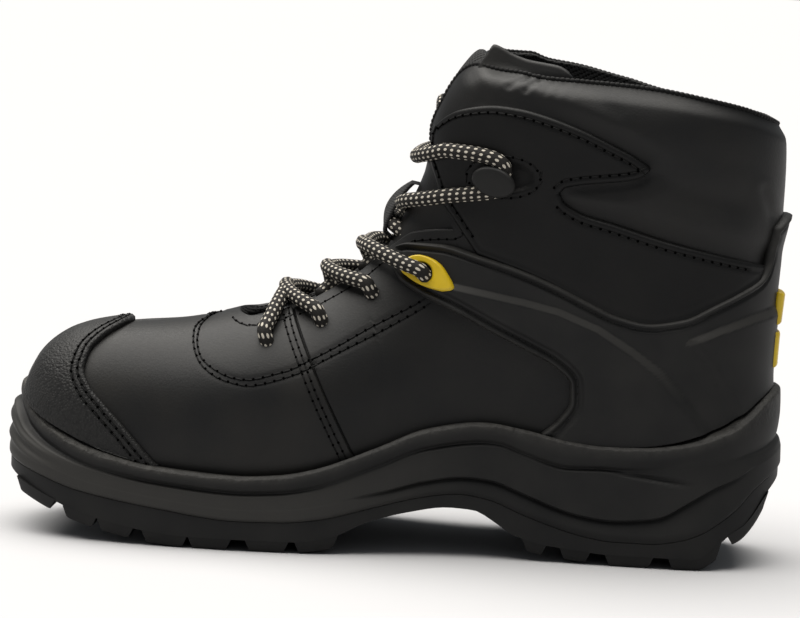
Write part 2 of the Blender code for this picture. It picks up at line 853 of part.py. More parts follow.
def ring_stations():
    """Stations around the sole: share of the length and side, toe to heel on the medial side and back."""
    share = station_shares()
    there = [(value, MEDIAL) for value in share]
    return there + [(value, LATERAL) for value in share[-2:0:-1]]


def sole_ring(inset):
    """Plan of the sole at the ring stations, moved inward by one inset or one for each station."""
    points = []
    for share, side in ring_stations():
        x = share * SOLE_LENGTH
        points.append((x, float(axis_y(x) + side * sole_half(x, side))))
    points = np.array(points)
    ahead = np.roll(points, -1, axis=0) - np.roll(points, 1, axis=0)
    inward = np.stack([ahead[:, 1], -ahead[:, 0]], axis=1)
    inward /= np.linalg.norm(inward, axis=1)[:, None]
    middle = points.mean(axis=0)
    if np.sum(inward * (middle - points)) < 0.0:
        inward = -inward
    return points + inward * np.reshape(inset, (-1, 1))


def ladder(mesh, loop):
    """Close a ring of stations with faces that run from side to side."""
    count = len(loop)
    half = count // 2
    mesh.faces.append((loop[0], loop[1], loop[count - 1]))
    for step in range(1, half - 1):
        mesh.faces.append((loop[step], loop[step + 1], loop[count - step - 1], loop[count - step]))
    mesh.faces.append((loop[half - 1], loop[half], loop[half + 1]))


def ring_on_skin(height_of, offset):
    """Ring around the upper at a height that varies along the boot."""
    points = []
    for share, side in ring_stations():
        z = float(height_of(share * SOLE_LENGTH, side))
        front = float(OUTLINE.x_at_height(z))
        back = float(BACK.read("x", z))
        points.append(skin(front + share * (back - front), z, side, offset)[0])
    return np.array(points)


def groove_z(x, side):
    """Height of the groove line under the rim."""
    seam = SEAM.read("z", x)
    lip = lip_z(x, side)
    return np.maximum(lip - GROOVE_DROP, seam + GROOVE_SHARE * (lip - seam))


def build_midsole():
    """Cup of the sole: outer wall with its groove and rim, inner wall round the upper, and floor."""
    mesh = Mesh()
    stations = ring_stations()
    rings = []
    along_sole = SOLE_LENGTH * np.array([along for along, _ in stations])
    wave_share = smoothstep(WAVE_START, WAVE_FULL, along_sole) - smoothstep(WAVE_FADE, WAVE_END, along_sole)
    for _, share, above, out, wave in WALL_LEVELS:
        plan = sole_ring(-out - wave * wave_share)
        ring = []
        for (x, y), (along, side) in zip(plan, stations):
            place = along * SOLE_LENGTH
            seam = float(seam_z(place)) + SEAM_FIT
            ring.append((x, y, seam + share * (groove_z(place, side) - seam) + above))
        rings.append(ring)
    for inset, drop in ((RIM_INSET - RIM_ROUND, RIM_ROUND), (RIM_INSET, 0.0)):
        plan = sole_ring(inset)
        rings.append(
            [
                (x, y, float(lip_z(along * SOLE_LENGTH, side)) - drop)
                for (x, y), (along, side) in zip(plan, stations)
            ]
        )
    for row in range(INNER_ROWS + 1):
        share = row / INNER_ROWS

        def height(x, side, share=share):
            return lip_z(x, side) * (1.0 - share) + (BED.read("z", x)) * share

        rings.append(ring_on_skin(height, CUP_CLEAR))
    index = mesh.grid(np.array(rings))
    for low, high in zip(index[:-1], index[1:]):
        mesh.strip(low, high, wrap=True)
    ladder(mesh, list(index[0]))
    ladder(mesh, list(index[-1])[::-1])
    return make_object("midsole", mesh, BLACK_RUBBER)


def plate_z(x):
    """Underside of the outsole between the lugs."""
    return TREAD.read("z", x) + TREAD.read("depth", x)


def build_outsole():
    """Outsole: plate from the seam down with lugs along both edges and the middle."""
    mesh = Mesh()
    cuts = set(WAIST_CUTS)
    for inset in (OUTSOLE_INSET, OUTSOLE_INSET + TIP_STEP):
        cuts.update((inset, SOLE_LENGTH - inset))
    for start, end in EDGE_LUGS + CENTRE_LUGS:
        cuts.update((start, end))
    places = sorted(cuts)
    shares = (-1.0, -CHANNEL_SHARE, -CENTRE_SHARE, CENTRE_SHARE, CHANNEL_SHARE, 1.0)

    def across(x, share):
        side = MEDIAL if share < 0.0 else LATERAL
        reach = max(float(sole_half(x, side)) - OUTSOLE_INSET, 0.0)
        return float(axis_y(x)) + share * reach

    inner = places[1:-1]
    top = mesh.grid([[(x, across(x, share), float(seam_z(x))) for share in shares] for x in inner])
    low = mesh.grid([[(x, across(x, share), float(plate_z(x))) for share in shares] for x in inner])
    tips = []
    for x in (places[0], places[-1]):
        middle = float(axis_y(x))
        tips.append(mesh.grid([[(x, middle, float(seam_z(x))), (x, middle, float(plate_z(x)))]])[0])
    mesh.skin_grid(top)
    edge = len(shares) - 1
    for side in (0, edge):
        mesh.strip(top[:, side], low[:, side])
    for tip, row in ((tips[0], 0), (tips[1], len(inner) - 1)):
        for cell in range(edge):
            mesh.faces.append((tip[0], top[row][cell], top[row][cell + 1]))
            mesh.faces.append((tip[1], low[row][cell], low[row][cell + 1]))
        for side in (0, edge):
            mesh.faces.append((tip[0], tip[1], low[row][side], top[row][side]))

    def has_lug(row, cell):
        middle = (inner[row] + inner[row + 1]) / 2.0
        lugs = CENTRE_LUGS if cell == 2 else EDGE_LUGS
        if cell in (1, 3):
            return False
        return any(start < middle < end for start, end in lugs)

    for cell in range(edge):
        row = 0
        while row < len(inner) - 1:
            if not has_lug(row, cell):
                near, far = low[row], low[row + 1]
                mesh.faces.append((near[cell], near[cell + 1], far[cell + 1], far[cell]))
                row += 1
                continue
            last = row
            while last + 1 < len(inner) - 1 and has_lug(last + 1, cell):
                last += 1
            add_lug(mesh, inner, low, across, shares, cell, row, last + 1)
            row = last + 1
    return make_object("outsole", mesh, BLACK_RUBBER)


def add_lug(mesh, places, low, across, shares, cell, first, last):
    """Drop one lug from the plate, a little narrower at its foot."""
    rows = []
    for row in range(first, last + 1):
        x = places[row]
        if row == first:
            x += LUG_DRAFT
        if row == last:
            x -= LUG_DRAFT
        y_low = across(x, shares[cell])
        y_high = across(x, shares[cell + 1])
        z = float(TREAD.read("z", x))
        rows.append([(x, y_low + LUG_DRAFT, z), (x, y_high - LUG_DRAFT, z)])
    foot = mesh.grid(rows)
    mesh.skin_grid(foot)
    mesh.strip(low[first : last + 1, cell], foot[:, 0])
    mesh.strip(low[first : last + 1, cell + 1], foot[:, 1])
    for row, spot in ((first, 0), (last, len(foot) - 1)):
        mesh.faces.append((low[row][cell], low[row][cell + 1], foot[spot][1], foot[spot][0]))


def build_insole():
    """Footbed that lies in the cup inside the upper."""
    mesh = Mesh()
    turn = np.linspace(0.0, math.pi, INSOLE_STATIONS + 1)
    along = (1.0 - np.cos(turn)) / 2.0
    order = [(value, MEDIAL) for value in along] + [(value, LATERAL) for value in along[-2:0:-1]]
    rings = []
    for rise, inset in ((0.0, INSOLE_LOW_EDGE), (INSOLE_THICKNESS, INSOLE_TOP_EDGE)):
        ring = []
        for share, side in order:
            z = float(BED.read("z", share * SOLE_LENGTH)) + INSOLE_CLEAR + rise
            front = float(OUTLINE.x_at_height(z))
            back = float(BACK.read("x", z))
            place = front + share * (back - front)
            point = skin(place, z, side, -(VAMP_STEP + UPPER_WALL + INSOLE_CLEAR + inset))[0]
            ring.append((point[0], point[1], float(bed_z(point[0])) + INSOLE_CLEAR + rise))
        rings.append(ring)
    index = mesh.grid(np.array(rings))
    mesh.strip(index[0], index[1], wrap=True)
    ladder(mesh, list(index[0]))
    ladder(mesh, list(index[1])[::-1])
    return make_object("insole", mesh, BLACK_CLOTH)


def shell(
    mesh, paths, outer, inner, open_from=0, open_start=True, open_end=True, base_open=True, crown_share=0.0
):
    """Add a wall between two offsets of the skin over lines in side view, on each side given.

    Lines before open_from end on the middle plane, where the two sides meet.
    """
    for side, (x, z) in paths.items():
        count, rows = x.shape
        out_points = skin(x.ravel(), z.ravel(), side, outer(x, z, side).ravel()).reshape(count, rows, 3)
        in_points = skin(x.ravel(), z.ravel(), side, inner(x, z, side).ravel()).reshape(count, rows, 3)
        out_index = mesh.grid(out_points)
        in_index = mesh.grid(in_points)
        mesh.skin_grid(out_index)
        mesh.skin_grid(in_index)
        if base_open:
            mesh.strip(out_index[:, 0], in_index[:, 0])
        if crown_share:
            ends = out_points[open_from:, -1]
            feet = in_points[open_from:, -1]
            rise = ends - out_points[open_from:, -2]
            rise /= np.linalg.norm(rise, axis=1)[:, None]
            if not open_start:
                rise[0] = 0.0
            thick = np.linalg.norm(ends - feet, axis=1)[:, None]
            middle = mesh.grid([(ends + feet) / 2.0 + rise * thick * crown_share])[0]
            mesh.strip(out_index[open_from:, -1], middle)
            mesh.strip(middle, in_index[open_from:, -1])
            out_edge = out_index[open_from:, -1]
            in_edge = in_index[open_from:, -1]
            for spot, is_open in ((0, open_start), (-1, open_end)):
                if is_open:
                    mesh.faces.append((out_edge[spot], middle[spot], in_edge[spot]))
        else:
            mesh.strip(out_index[open_from:, -1], in_index[open_from:, -1])
        if open_start:
            mesh.strip(out_index[0], in_index[0])
        if open_end:
            mesh.strip(out_index[-1], in_index[-1])


def upper_lines(side):
    """Lines of the upper in side view from the sole to its edge, toe to heel."""
    base_x, top_x, top_z, bow, bias = [], [], [], [], []
    toe_x = float(OUTLINE.x_at_height(bed_z(UPPER_TOE_X)))
    for step in range(TOE_LINES + 1):
        share = (step / TOE_LINES) ** 2
        base_x.append(toe_x + share * (TOE_BASE_X - toe_x))
        top_x.append(TOE_CROWN_X + (CAP_X - TOE_CROWN_X) * (step / TOE_LINES) ** TOE_LINE_EASE)
        bow.append(1.0 - share)
        bias.append(1.0 + (CROWN_BIAS - 1.0) * min(step / CROWN_BIAS_LINES, 1.0))
    for step in range(1, VAMP_LINES + 1):
        share = step / VAMP_LINES
        base_x.append(TOE_BASE_X + share * (THROAT_ROWS[0][2] - TOE_BASE_X))
        top_x.append(CAP_X + share * (THROAT_TIP_X - CAP_X))
        bow.append(0.0)
        bias.append(CROWN_BIAS)
    top_z = list(OUTLINE.at_x(np.array(top_x))[1])
    ridge_count = len(top_x)
    throat = Table(THROAT_COLUMNS, THROAT_ROWS)
    places = throat.stations()[1:]
    ridge_x, half_gap, base = throat.stretch(("ridge_x", "half_gap", "base_x"), places)
    crown_x, crown_z = crown(ridge_x, half_gap, side)
    edge = Table(EDGE_COLUMNS, ((crown_x[-1], crown_z[-1], base[-1], 0),) + EDGE_ROWS)
    edge_x, edge_z, edge_base = edge.stretch(("x", "z", "base_x"), edge.stations()[1:])
    last_x = EDGE_ROWS[-1][0]
    last_base = EDGE_ROWS[-1][2]
    back_top_z = float(COLLAR.read("z", COLLAR_BACK_X))
    back_top_x = float(BACK.read("x", back_top_z))
    back_base_x = float(BACK.read("x", bed_z(UPPER_HEEL_X)))
    ease = (1.0 - np.arange(1, BACK_STEPS + 1) / BACK_STEPS) ** 2
    back_x = back_top_x - (back_top_x - last_x) * ease
    back_z = COLLAR.read("z", back_x)
    back_z[-1] = back_top_z
    back_base = back_base_x - (back_base_x - last_base) * ease
    top_x = np.concatenate([top_x, crown_x, edge_x, back_x])
    top_z = np.concatenate([top_z, crown_z, edge_z, back_z])
    base_x = np.concatenate([base_x, base, edge_base, back_base])
    edge_bias = np.full(len(edge_x), EDGE_BIAS)
    back_bias = np.linspace(EDGE_BIAS, 1.0, len(back_x))
    bias = np.concatenate([bias, np.full(len(crown_x), CROWN_BIAS), edge_bias, back_bias])
    bow = np.concatenate([bow, np.zeros(len(base_x) - len(bow))])
    rise = collar_rise(top_x, top_z, side)
    top_x = top_x + rise * RISE_LEAN * (1.0 - smoothstep(RISE_LEAN_FRONT, RISE_LEAN_BACK, top_x))
    top_z = top_z + rise
    base_z = bed_z(base_x) + CUP_CLEAR
    share = np.linspace(0.0, 1.0, UPPER_ROWS + 1)[None, :]
    share = 1.0 - (1.0 - share) ** bias[:, None]
    x = base_x[:, None] * (1.0 - share) + top_x[:, None] * share
    z = base_z[:, None] * (1.0 - share) + top_z[:, None] * share
    height = base_z[0] + share * (top_z[0] - base_z[0])
    front_bow = OUTLINE.x_at_height(height) - (base_x[0] + share * (top_x[0] - base_x[0]))
    x = x + bow[:, None] * front_bow
    x[0] = OUTLINE.x_at_height(z[0])
    back_height = z[-1]
    x[-1] = BACK.read("x", back_height)
    lean = x[-1] - (back_base_x + share[-1] * (back_top_x - back_base_x))
    fade = np.linspace(0.0, 1.0, BACK_STEPS + 1)[1:]
    for step, amount in zip(range(BACK_STEPS - 1), fade):
        x[step - BACK_STEPS] += lean * amount
    return x, z, ridge_count - 1


def vamp_index():
    """Line of the upper that follows the rear edge of the vamp."""
    steps = [row[3] for row in THROAT_ROWS]
    return TOE_LINES + VAMP_LINES + sum(steps[:VAMP_ROW])


def pad(x, z):
    """Extra wall of the padded collar."""
    return COLLAR_PAD * smoothstep(PAD_FRONT, PAD_FULL, x) * smoothstep(PAD_LOW, PAD_HIGH, z)


def build_upper():
    """Vamp, quarters and collar as one hollow wall, open at the throat, the collar and underneath."""
    mesh = Mesh()
    paths = {}
    tip = 0
    for side in SIDES:
        x, z, tip = upper_lines(side)
        paths[side] = (x, z)
    vamp = vamp_index()

    def outer(x, z, side):
        lift = np.zeros_like(x)
        lift[: vamp + 1] = VAMP_STEP
        return lift - VAMP_STEP

    def inner(x, z, side):
        return -VAMP_STEP - UPPER_WALL - pad(x, z)

    shell(mesh, paths, outer, inner, tip, open_start=False, open_end=False, crown_share=RIM_CROWN)
    return make_object("upper", mesh, BLACK_LEATHER)


def bumper_lines(side):
    """Hoops of the toe bumper in side view, each from the middle to its rear edge, rim to crown."""
    rear = Table(BUMPER_COLUMNS, BUMPER_ROWS)
    places = rear.stations()
    ridge_height, rear_x, rear_z = rear.stretch(("ridge_z", "x", "z"), places)
    low_z = float(above_rim(UPPER_TOE_X, side))
    ridge_z = np.maximum(ridge_height, low_z)
    ridge_z[0] = low_z
    ridge_x = OUTLINE.x_at_height(ridge_z)
    rear_z[0] = float(above_rim(rear_x[0], side))
    share = (np.linspace(0.0, 1.0, BUMPER_ROWS_ACROSS + 1) ** BUMPER_BIAS)[None, :]
    x = ridge_x[:, None] * (1.0 - share) + rear_x[:, None] * share
    z = ridge_z[:, None] * (1.0 - share) + rear_z[:, None] * share
    rim_bow = above_rim(x[0], side) - z[0]
    rim_bow[0] = 0.0
    fade = np.linspace(1.0, 0.0, len(ridge_x))[:, None] ** BUMPER_FADE
    return x, z + rim_bow[None, :] * fade


def build_toe_bumper():
    """Rubber bumper over the toe, from the sole's rim to a curved rear edge."""
    mesh = Mesh()
    paths = {side: bumper_lines(side) for side in SIDES}

    def outer(x, z, side):
        return np.full_like(x, BUMPER_LIFT + BUMPER_WALL)

    def inner(x, z, side):
        return np.full_like(x, BUMPER_LIFT)

    shell(mesh, paths, outer, inner, base_open=False)
    return make_object("toe_bumper", mesh, BLACK_RUBBER)


def counter_lines(side):
    """Lines of the heel counter from its lower to its upper edge, arm tip to back."""
    arm = Table(COUNTER_COLUMNS, COUNTER_ARM_ROWS)
    low_x, low_z, top_x, top_z = arm.stretch(("low_x", "low_z", "top_x", "top_z"), arm.stations())
    first = (low_x[-1], top_x[-1], top_z[-1], 0)
    cup = Table(COUNTER_CUP_COLUMNS, (first,) + COUNTER_CUP_ROWS)
    cup_low, cup_top_x, cup_top_z = cup.stretch(("low_x", "top_x", "top_z"), cup.stations()[1:])
    cup_low_z = above_rim(cup_low, side)
    back_low_z = float(above_rim(UPPER_HEEL_X, side))
    low_x = np.concatenate([low_x, cup_low, [float(BACK.read("x", back_low_z))]])
    low_z = np.concatenate([low_z, cup_low_z, [back_low_z]])
    low_z = np.maximum(low_z, above_rim(low_x, side))
    top_x = np.concatenate([top_x, cup_top_x, [float(BACK.read("x", COUNTER_BACK_TOP))]])
    top_z = np.concatenate([top_z, cup_top_z, [COUNTER_BACK_TOP]])
    share = np.linspace(0.0, 1.0, COUNTER_ROWS_UP + 1)[None, :]
    x = low_x[:, None] * (1.0 - share) + top_x[:, None] * share
    z = low_z[:, None] * (1.0 - share) + top_z[:, None] * share
    back = BACK.read("x", z)
    lean = back[-1] - x[-1]
    for step, amount in COUNTER_LEAN:
        x[step] = np.minimum(x[step] + lean * amount, back[step])
    return x, z


def build_heel_counter():
    """Moulded counter round the heel with an arm to the fourth eyelet on each side."""
    mesh = Mesh()
    paths = {side: counter_lines(side) for side in SIDES}

    def outer(x, z, side):
        rise = smoothstep(COUNTER_FLARE_LOW, COUNTER_BACK_TOP, z)
        round_back = smoothstep(COUNTER_FLARE_FRONT, COUNTER_FLARE_BACK, x)
        return OVERLAY_LIFT + COUNTER_WALL + COUNTER_LIP_FLARE * rise * round_back

    def inner(x, z, side):
        return np.full_like(x, OVERLAY_LIFT)

    shell(mesh, paths, outer, inner, 0, open_start=True, open_end=False)
    return make_object("heel_counter", mesh, BLACK_PLASTIC)


def panel_lines(low, top, side):
    """Lines of one half of the ankle panel between its lower and upper edge."""
    low_x, low_z = low
    top_x, top_z = top
    share = np.linspace(0.0, 1.0, PANEL_ROWS_UP + 1)[None, :]
    x = low_x[:, None] * (1.0 - share) + top_x[:, None] * share
    z = low_z[:, None] * (1.0 - share) + top_z[:, None] * share
    return x, z + collar_rise(x, z, side)


def build_ankle_panel(side):
    """Leather panel over the ankle, with a beak over its notch and a window for the hook."""
    mesh = Mesh()
    shared = sum(row[4] for row in BELT_ROWS[:4])
    belt_table = Table(BELT_COLUMNS, BELT_ROWS)
    beak_table = Table(BEAK_COLUMNS, BEAK_ROWS)
    belt_top = np.array(belt_table.stretch(("mid_x", "mid_z"), belt_table.stations()))
    beak_low = np.array(beak_table.stretch(("mid_x", "mid_z"), beak_table.stations()))
    beak_low[:, : shared + 1] = belt_top[:, : shared + 1]
    belt = panel_lines(belt_table.stretch(("low_x", "low_z"), belt_table.stations()), belt_top, side)
    beak = panel_lines(beak_low, beak_table.stretch(("top_x", "top_z"), beak_table.stations()), side)
    grids = []
    for x, z in (belt, beak):
        sheets = []
        for offset in (OVERLAY_LIFT + PANEL_WALL, OVERLAY_LIFT):
            points = skin(x.ravel(), z.ravel(), side, offset).reshape(*x.shape, 3)
            sheets.append(mesh.grid(points))
            mesh.skin_grid(sheets[-1])
        grids.append(sheets)
    (belt_out, belt_in), (beak_out, beak_in) = grids
    mesh.strip(belt_out[:, 0], belt_in[:, 0])
    mesh.strip(belt_out[0], belt_in[0])
    mesh.strip(belt_out[-1], belt_in[-1])
    mesh.strip(belt_out[shared:, -1], belt_in[shared:, -1])
    mesh.strip(beak_out[:, -1], beak_in[:, -1])
    mesh.strip(beak_out[0], beak_in[0])
    mesh.strip(beak_out[-1], beak_in[-1])
    mesh.strip(beak_out[shared:, 0], beak_in[shared:, 0])
    piece = make_object("ankle_panel_" + SIDE_NAME[side], mesh, BLACK_LEATHER)
    x, z, half_x, half_z = PANEL_WINDOW
    z = z + float(collar_rise(x, z, side))
    cutter = Mesh()
    rings = []
    for depth in (-WINDOW_DEPTH, WINDOW_DEPTH):
        ring = []
        for step in range(HOOK_SEGMENTS):
            turn = 2.0 * math.pi * step / HOOK_SEGMENTS
            place = (x + half_x * math.cos(turn), z + half_z * math.sin(turn))
            ring.append(skin(x, z, side, depth)[0] + np.array([place[0] - x, 0.0, place[1] - z]))
        rings.append(ring)
    index = cutter.grid(np.array(rings))
    cutter.strip(index[0], index[1], wrap=True)
    cutter.cap(index[0])
    cutter.cap(index[1][::-1])
    tool = make_object("window_cutter", cutter, BLACK_LEATHER)
    tool.hide_render = True
    tool.display_type = "WIRE"
    boolean(piece, tool, "DIFFERENCE")
    return piece


def build_tongue():
    """Padded tongue under the throat, rising above the collar."""
    mesh = Mesh()
    ridge_x = np.linspace(TONGUE_ROWS[0][0], TONGUE_ROWS[-1][0], TONGUE_STATIONS + 1)
    half = TONGUE.read("half_width", ridge_x)
    thick = TONGUE.read("pad", ridge_x)
    top = -(VAMP_STEP + UPPER_WALL + TONGUE_CLEAR)
    lines = []
    for side, steps in ((MEDIAL, range(TONGUE_ACROSS, 0, -1)), (LATERAL, range(0, TONGUE_ACROSS + 1))):
        for step in steps:
            share = step / TONGUE_ACROSS
            x, z = crown(ridge_x, half * share, side)
            taper = 1.0 - (1.0 - TONGUE_EDGE_SHARE) * share**TONGUE_TAPER
            lines.append((skin(x, z, side, top), skin(x, z, side, top - thick * taper)))
    out_index = mesh.grid(np.array([line[0] for line in lines]))
    in_index = mesh.grid(np.array([line[1] for line in lines]))
    mesh.skin_grid(out_index)
    mesh.skin_grid(in_index)
    for pick in (0, -1):
        mesh.strip(out_index[pick], in_index[pick])
        mesh.strip(out_index[:, pick], in_index[:, pick])
    return make_object("tongue", mesh, BLACK_LEATHER)


def ridge_point(ridge_x, offset):
    """Point on the middle of the front outline, moved outward."""
    x, z, in_x, in_z = OUTLINE.at_x(ridge_x)[:4]
    return np.array([x - in_x * offset, axis_y(x), z - in_z * offset])


def build_tongue_loop():
    """Loop of webbing that stands off the tongue and holds the lace."""
    mesh = Mesh()
    foot = -(VAMP_STEP + UPPER_WALL + TONGUE_CLEAR) + LOOP_FOOT
    rows_out, rows_in = [], []
    for step in range(LOOP_STEPS + 1):
        share = step / LOOP_STEPS
        stand = foot + LOOP_STAND * math.sin(math.pi * share) ** LOOP_ROUND
        ridge_x = LOOP_LOW_X + share * (LOOP_HIGH_X - LOOP_LOW_X)
        for rows, extra in ((rows_out, LOOP_WALL), (rows_in, 0.0)):
            point = ridge_point(ridge_x, stand + extra)
            edge = np.array([0.0, LOOP_HALF_WIDTH, 0.0])
            rows.append([point - edge, point + edge])
    out_index = mesh.grid(rows_out)
    in_index = mesh.grid(rows_in)
    mesh.skin_grid(out_index)
    mesh.skin_grid(in_index)
    for pick in (0, -1):
        mesh.strip(out_index[:, pick], in_index[:, pick])
        mesh.strip(out_index[pick], in_index[pick])
    return make_object("tongue_loop", mesh, BLACK_CLOTH)


def tube(mesh, line, radius):
    """Round tube along a line of points, closed at both ends."""
    line = np.array(line)
    ahead = np.gradient(line, axis=0)
    ahead /= np.linalg.norm(ahead, axis=1)[:, None]
    rings = []
    for point, way in zip(line, ahead):
        first = np.cross(way, (0.0, 0.0, 1.0))
        first /= np.linalg.norm(first)
        second = np.cross(way, first)
        ring = []
        for step in range(LACE_SIDES):
            turn = 2.0 * math.pi * (step + 0.5) / LACE_SIDES
            ring.append(point + radius * (math.cos(turn) * first + math.sin(turn) * second))
        rings.append(ring)
    index = mesh.grid(np.array(rings))
    for low, high in zip(index[:-1], index[1:]):
        mesh.strip(low, high, wrap=True)
    mesh.cap(index[0])
    mesh.cap(index[-1][::-1])


def eyelet_place(number):
    """Place of an eyelet in side view."""
    ridge_x = EYELETS.data["ridge_x"][number]
    down = EYELETS.data["down"][number]
    x, z, in_x, in_z = OUTLINE.at_x(ridge_x)[:4]
    return x + in_x * down, z + in_z * down


def lace_line(start, middle, end):
    """Lace from a place on the medial side over the middle to a place on the lateral side.

    Start and end hold side, place in side view and offset, middle its place on the outline and offset.
    """
    line = []
    middle_x, middle_z = OUTLINE.at_x(middle[0])[:2]
    outward = np.linspace(0.0, 1.0, LACE_STEPS + 1)
    for spot, shares in ((start, outward[::-1]), (end, outward[1:])):
        side, place_x, place_z, offset = spot
        for share in shares:
            bend = share**LACE_BEND
            x = middle_x + (place_x - middle_x) * bend
            z = middle_z + (place_z - middle_z) * bend
            lift = middle[1] + (offset - middle[1]) * float(smoothstep(0.0, LACE_LIFT_SHARE, share))
            line.append(skin(x, z, side, lift)[0])
    return line


def build_lace(name, strands):
    """One crossing of the lace, its strands joined where they meet."""
    pieces = []
    for number, strand in enumerate(strands):
        mesh = Mesh()
        tube(mesh, strand, LACE_RADIUS)
        pieces.append(make_object(name if number == 0 else name + "_strand", mesh, BLACK_CLOTH))
    for other in pieces[1:]:
        other.hide_render = True
        other.display_type = "WIRE"
        boolean(pieces[0], other, "UNION")
    return pieces[0]


def build_laces():
    """Crossings between the eyelets, the crossing to the hooks, and the bar between the hooks.

    The lace goes down into each eyelet from outside and comes up again from under the edge of the throat.
    """
    over = LACE_RADIUS + LACE_CLEAR
    on_arm = OVERLAY_LIFT + COUNTER_WALL + OVERLAY_LIFT + TRIM_WALL + over
    lifts = (over, over, over, on_arm)
    hook_lift = OVERLAY_LIFT + PANEL_WALL + over
    hook_x, hook_z = HOOK_PLACE
    for number, ridge_x in enumerate(CROSSING_RIDGE_X + (LOOP_CROSS_X,)):
        strands = []
        for start_side in SIDES:
            if number == 0:
                start = (*eyelet_place(0), lifts[0])
            else:
                start = (*crown(LACE_UNDER_X[number - 1], LACE_UNDER_HALF, start_side), LACE_UNDER_LIFT)
            if number < len(CROSSING_RIDGE_X):
                end = (*eyelet_place(number + 1), lifts[number + 1])
                middle = (ridge_x, over)
            else:
                end = (hook_x - HOOK_REACH, hook_z - HOOK_SPREAD, hook_lift)
                middle = (ridge_x, LOOP_CROSS_LIFT)
            ends = {start_side: start, -start_side: end}
            strands.append(lace_line((MEDIAL, *ends[MEDIAL]), middle, (LATERAL, *ends[LATERAL])))
        build_lace("lace_crossing_" + str(number + 1), strands)
    ends = [(side, hook_x - HOOK_REACH, hook_z + HOOK_SPREAD, hook_lift) for side in SIDES]
    build_lace("lace_top_bar", [lace_line(ends[0], (TOP_BAR_RIDGE_X, over), ends[1])])


def build_eyelet_trim(side):
    """Yellow surround of the fourth eyelet, on the counter's arm."""
    mesh = Mesh()
    lift = OVERLAY_LIFT + COUNTER_WALL + OVERLAY_LIFT
    hole_x, hole_z, hole_radius = TRIM_HOLE
    rings = []
    for offset in (lift, lift + TRIM_WALL):
        outline = []
        hole = []
        for x, z in TRIM_OUTLINE:
            turn = math.atan2(z - hole_z, x - hole_x)
            outline.append(skin(x, z, side, offset)[0])
            rim_x = hole_x + hole_radius * math.cos(turn)
            rim_z = hole_z + hole_radius * math.sin(turn)
            hole.append(skin(rim_x, rim_z, side, offset)[0])
        rings.append((outline, hole))
    (low_out, low_hole), (high_out, high_hole) = rings
    index = mesh.grid(np.array([low_hole, low_out, high_out, high_hole]))
    for first, second in ((0, 1), (1, 2), (2, 3), (3, 0)):
        mesh.strip(index[first], index[second], wrap=True)
    return make_object("eyelet_trim_" + SIDE_NAME[side], mesh, YELLOW_PLASTIC)


def build_lace_hook(side):
    """Stud with a domed cap in the window of the ankle panel."""
    mesh = Mesh()
    x, z = HOOK_PLACE
    z = z + float(collar_rise(x, z, side))
    seat = FIT - VAMP_STEP
    foot = skin(x, z, side, seat)[0]
    out = skin(x, z, side, seat + 1.0)[0] - foot
    along = np.cross(out, (0.0, 0.0, 1.0))
    along /= np.linalg.norm(along)
    up = np.cross(along, out)
    if up[2] < 0.0:
        up = -up
    half_x, half_z = HOOK_CAP_RADIUS
    post = HOOK_POST_RADIUS
    levels = [(post + flange, post + flange, height) for flange, height in HOOK_FOOT_LEVELS]
    levels.append((post, post, HOOK_POST_HEIGHT))
    for share, height in HOOK_CAP_LEVELS:
        levels.append((half_x * share, half_z * share, HOOK_POST_HEIGHT + height))
    rings = []
    for wide, tall, height in levels:
        ring = []
        for step in range(HOOK_SEGMENTS):
            turn = 2.0 * math.pi * step / HOOK_SEGMENTS
            ring.append(foot + out * height + along * wide * math.cos(turn) + up * tall * math.sin(turn))
        rings.append(ring)
    index = mesh.grid(np.array(rings))
    for low, high in zip(index[:-1], index[1:]):
        mesh.strip(low, high, wrap=True)
    mesh.cap(index[0])
    mesh.cap(index[-1][::-1])
    return make_object("lace_hook_" + SIDE_NAME[side], mesh, BLACK_PLASTIC)


def build_heel_block(name, low_z, high_z):
    """Plain yellow block on the back of the counter."""
    mesh = Mesh()
    lift = OVERLAY_LIFT + COUNTER_WALL + OVERLAY_LIFT
    grids = []
    for offset in (lift, lift + BLOCK_WALL):
        rows = []
        for step in range(-HEEL_BLOCK_STEPS // 2, HEEL_BLOCK_STEPS // 2 + 1):
            side = MEDIAL if step < 0 else LATERAL
            half = abs(step) / (HEEL_BLOCK_STEPS / 2) * HEEL_BLOCK_HALF_WIDTH
            column = []
            for z in np.linspace(low_z, high_z, HEEL_BLOCK_ROWS + 1):
                back = float(BACK.read("x", z))
                share = half / float(full_width(back, z, side))
                rest = (1.0 - share**BACK_FULLNESS) ** (1.0 / BACK_FULLNESS)
                depth = float(BACK.read("round", z)) * (1.0 - rest)
                column.append(skin(back - depth, z, side, offset)[0])
            rows.append(column)
        grids.append(mesh.grid(np.array(rows)))
    low, high = grids
    mesh.skin_grid(low)
    mesh.skin_grid(high)
    for pick in (0, -1):
        mesh.strip(low[:, pick], high[:, pick])
        mesh.strip(low[pick], high[pick])
    return make_object(name, mesh, YELLOW_PLASTIC)


def main():
    """Clear the scene and build every piece of the boot."""
    for old in list(bpy.data.objects):
        bpy.data.objects.remove(old)
    build_outsole()
    build_midsole()
    build_insole()
    build_upper()
    build_toe_bumper()
    build_heel_counter()
    build_tongue()
    build_tongue_loop()
    build_laces()
    for side in SIDES:
        build_ankle_panel(side)
        build_eyelet_trim(side)
        build_lace_hook(side)
    for name, low_z, high_z in HEEL_BLOCKS:
        build_heel_block(name, low_z, high_z)


main()
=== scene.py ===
"""Looks of a right work boot of ankle height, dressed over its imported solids.

Sizes are in millimetres, with x from the toe tip to the heel, y to the lateral side and z up from the floor.
They turn to metres in the row's frame when a mesh is made.
"""
import logging
import math
from dataclasses import dataclass
from enum import Enum, IntEnum
from typing import Callable, Optional, Sequence

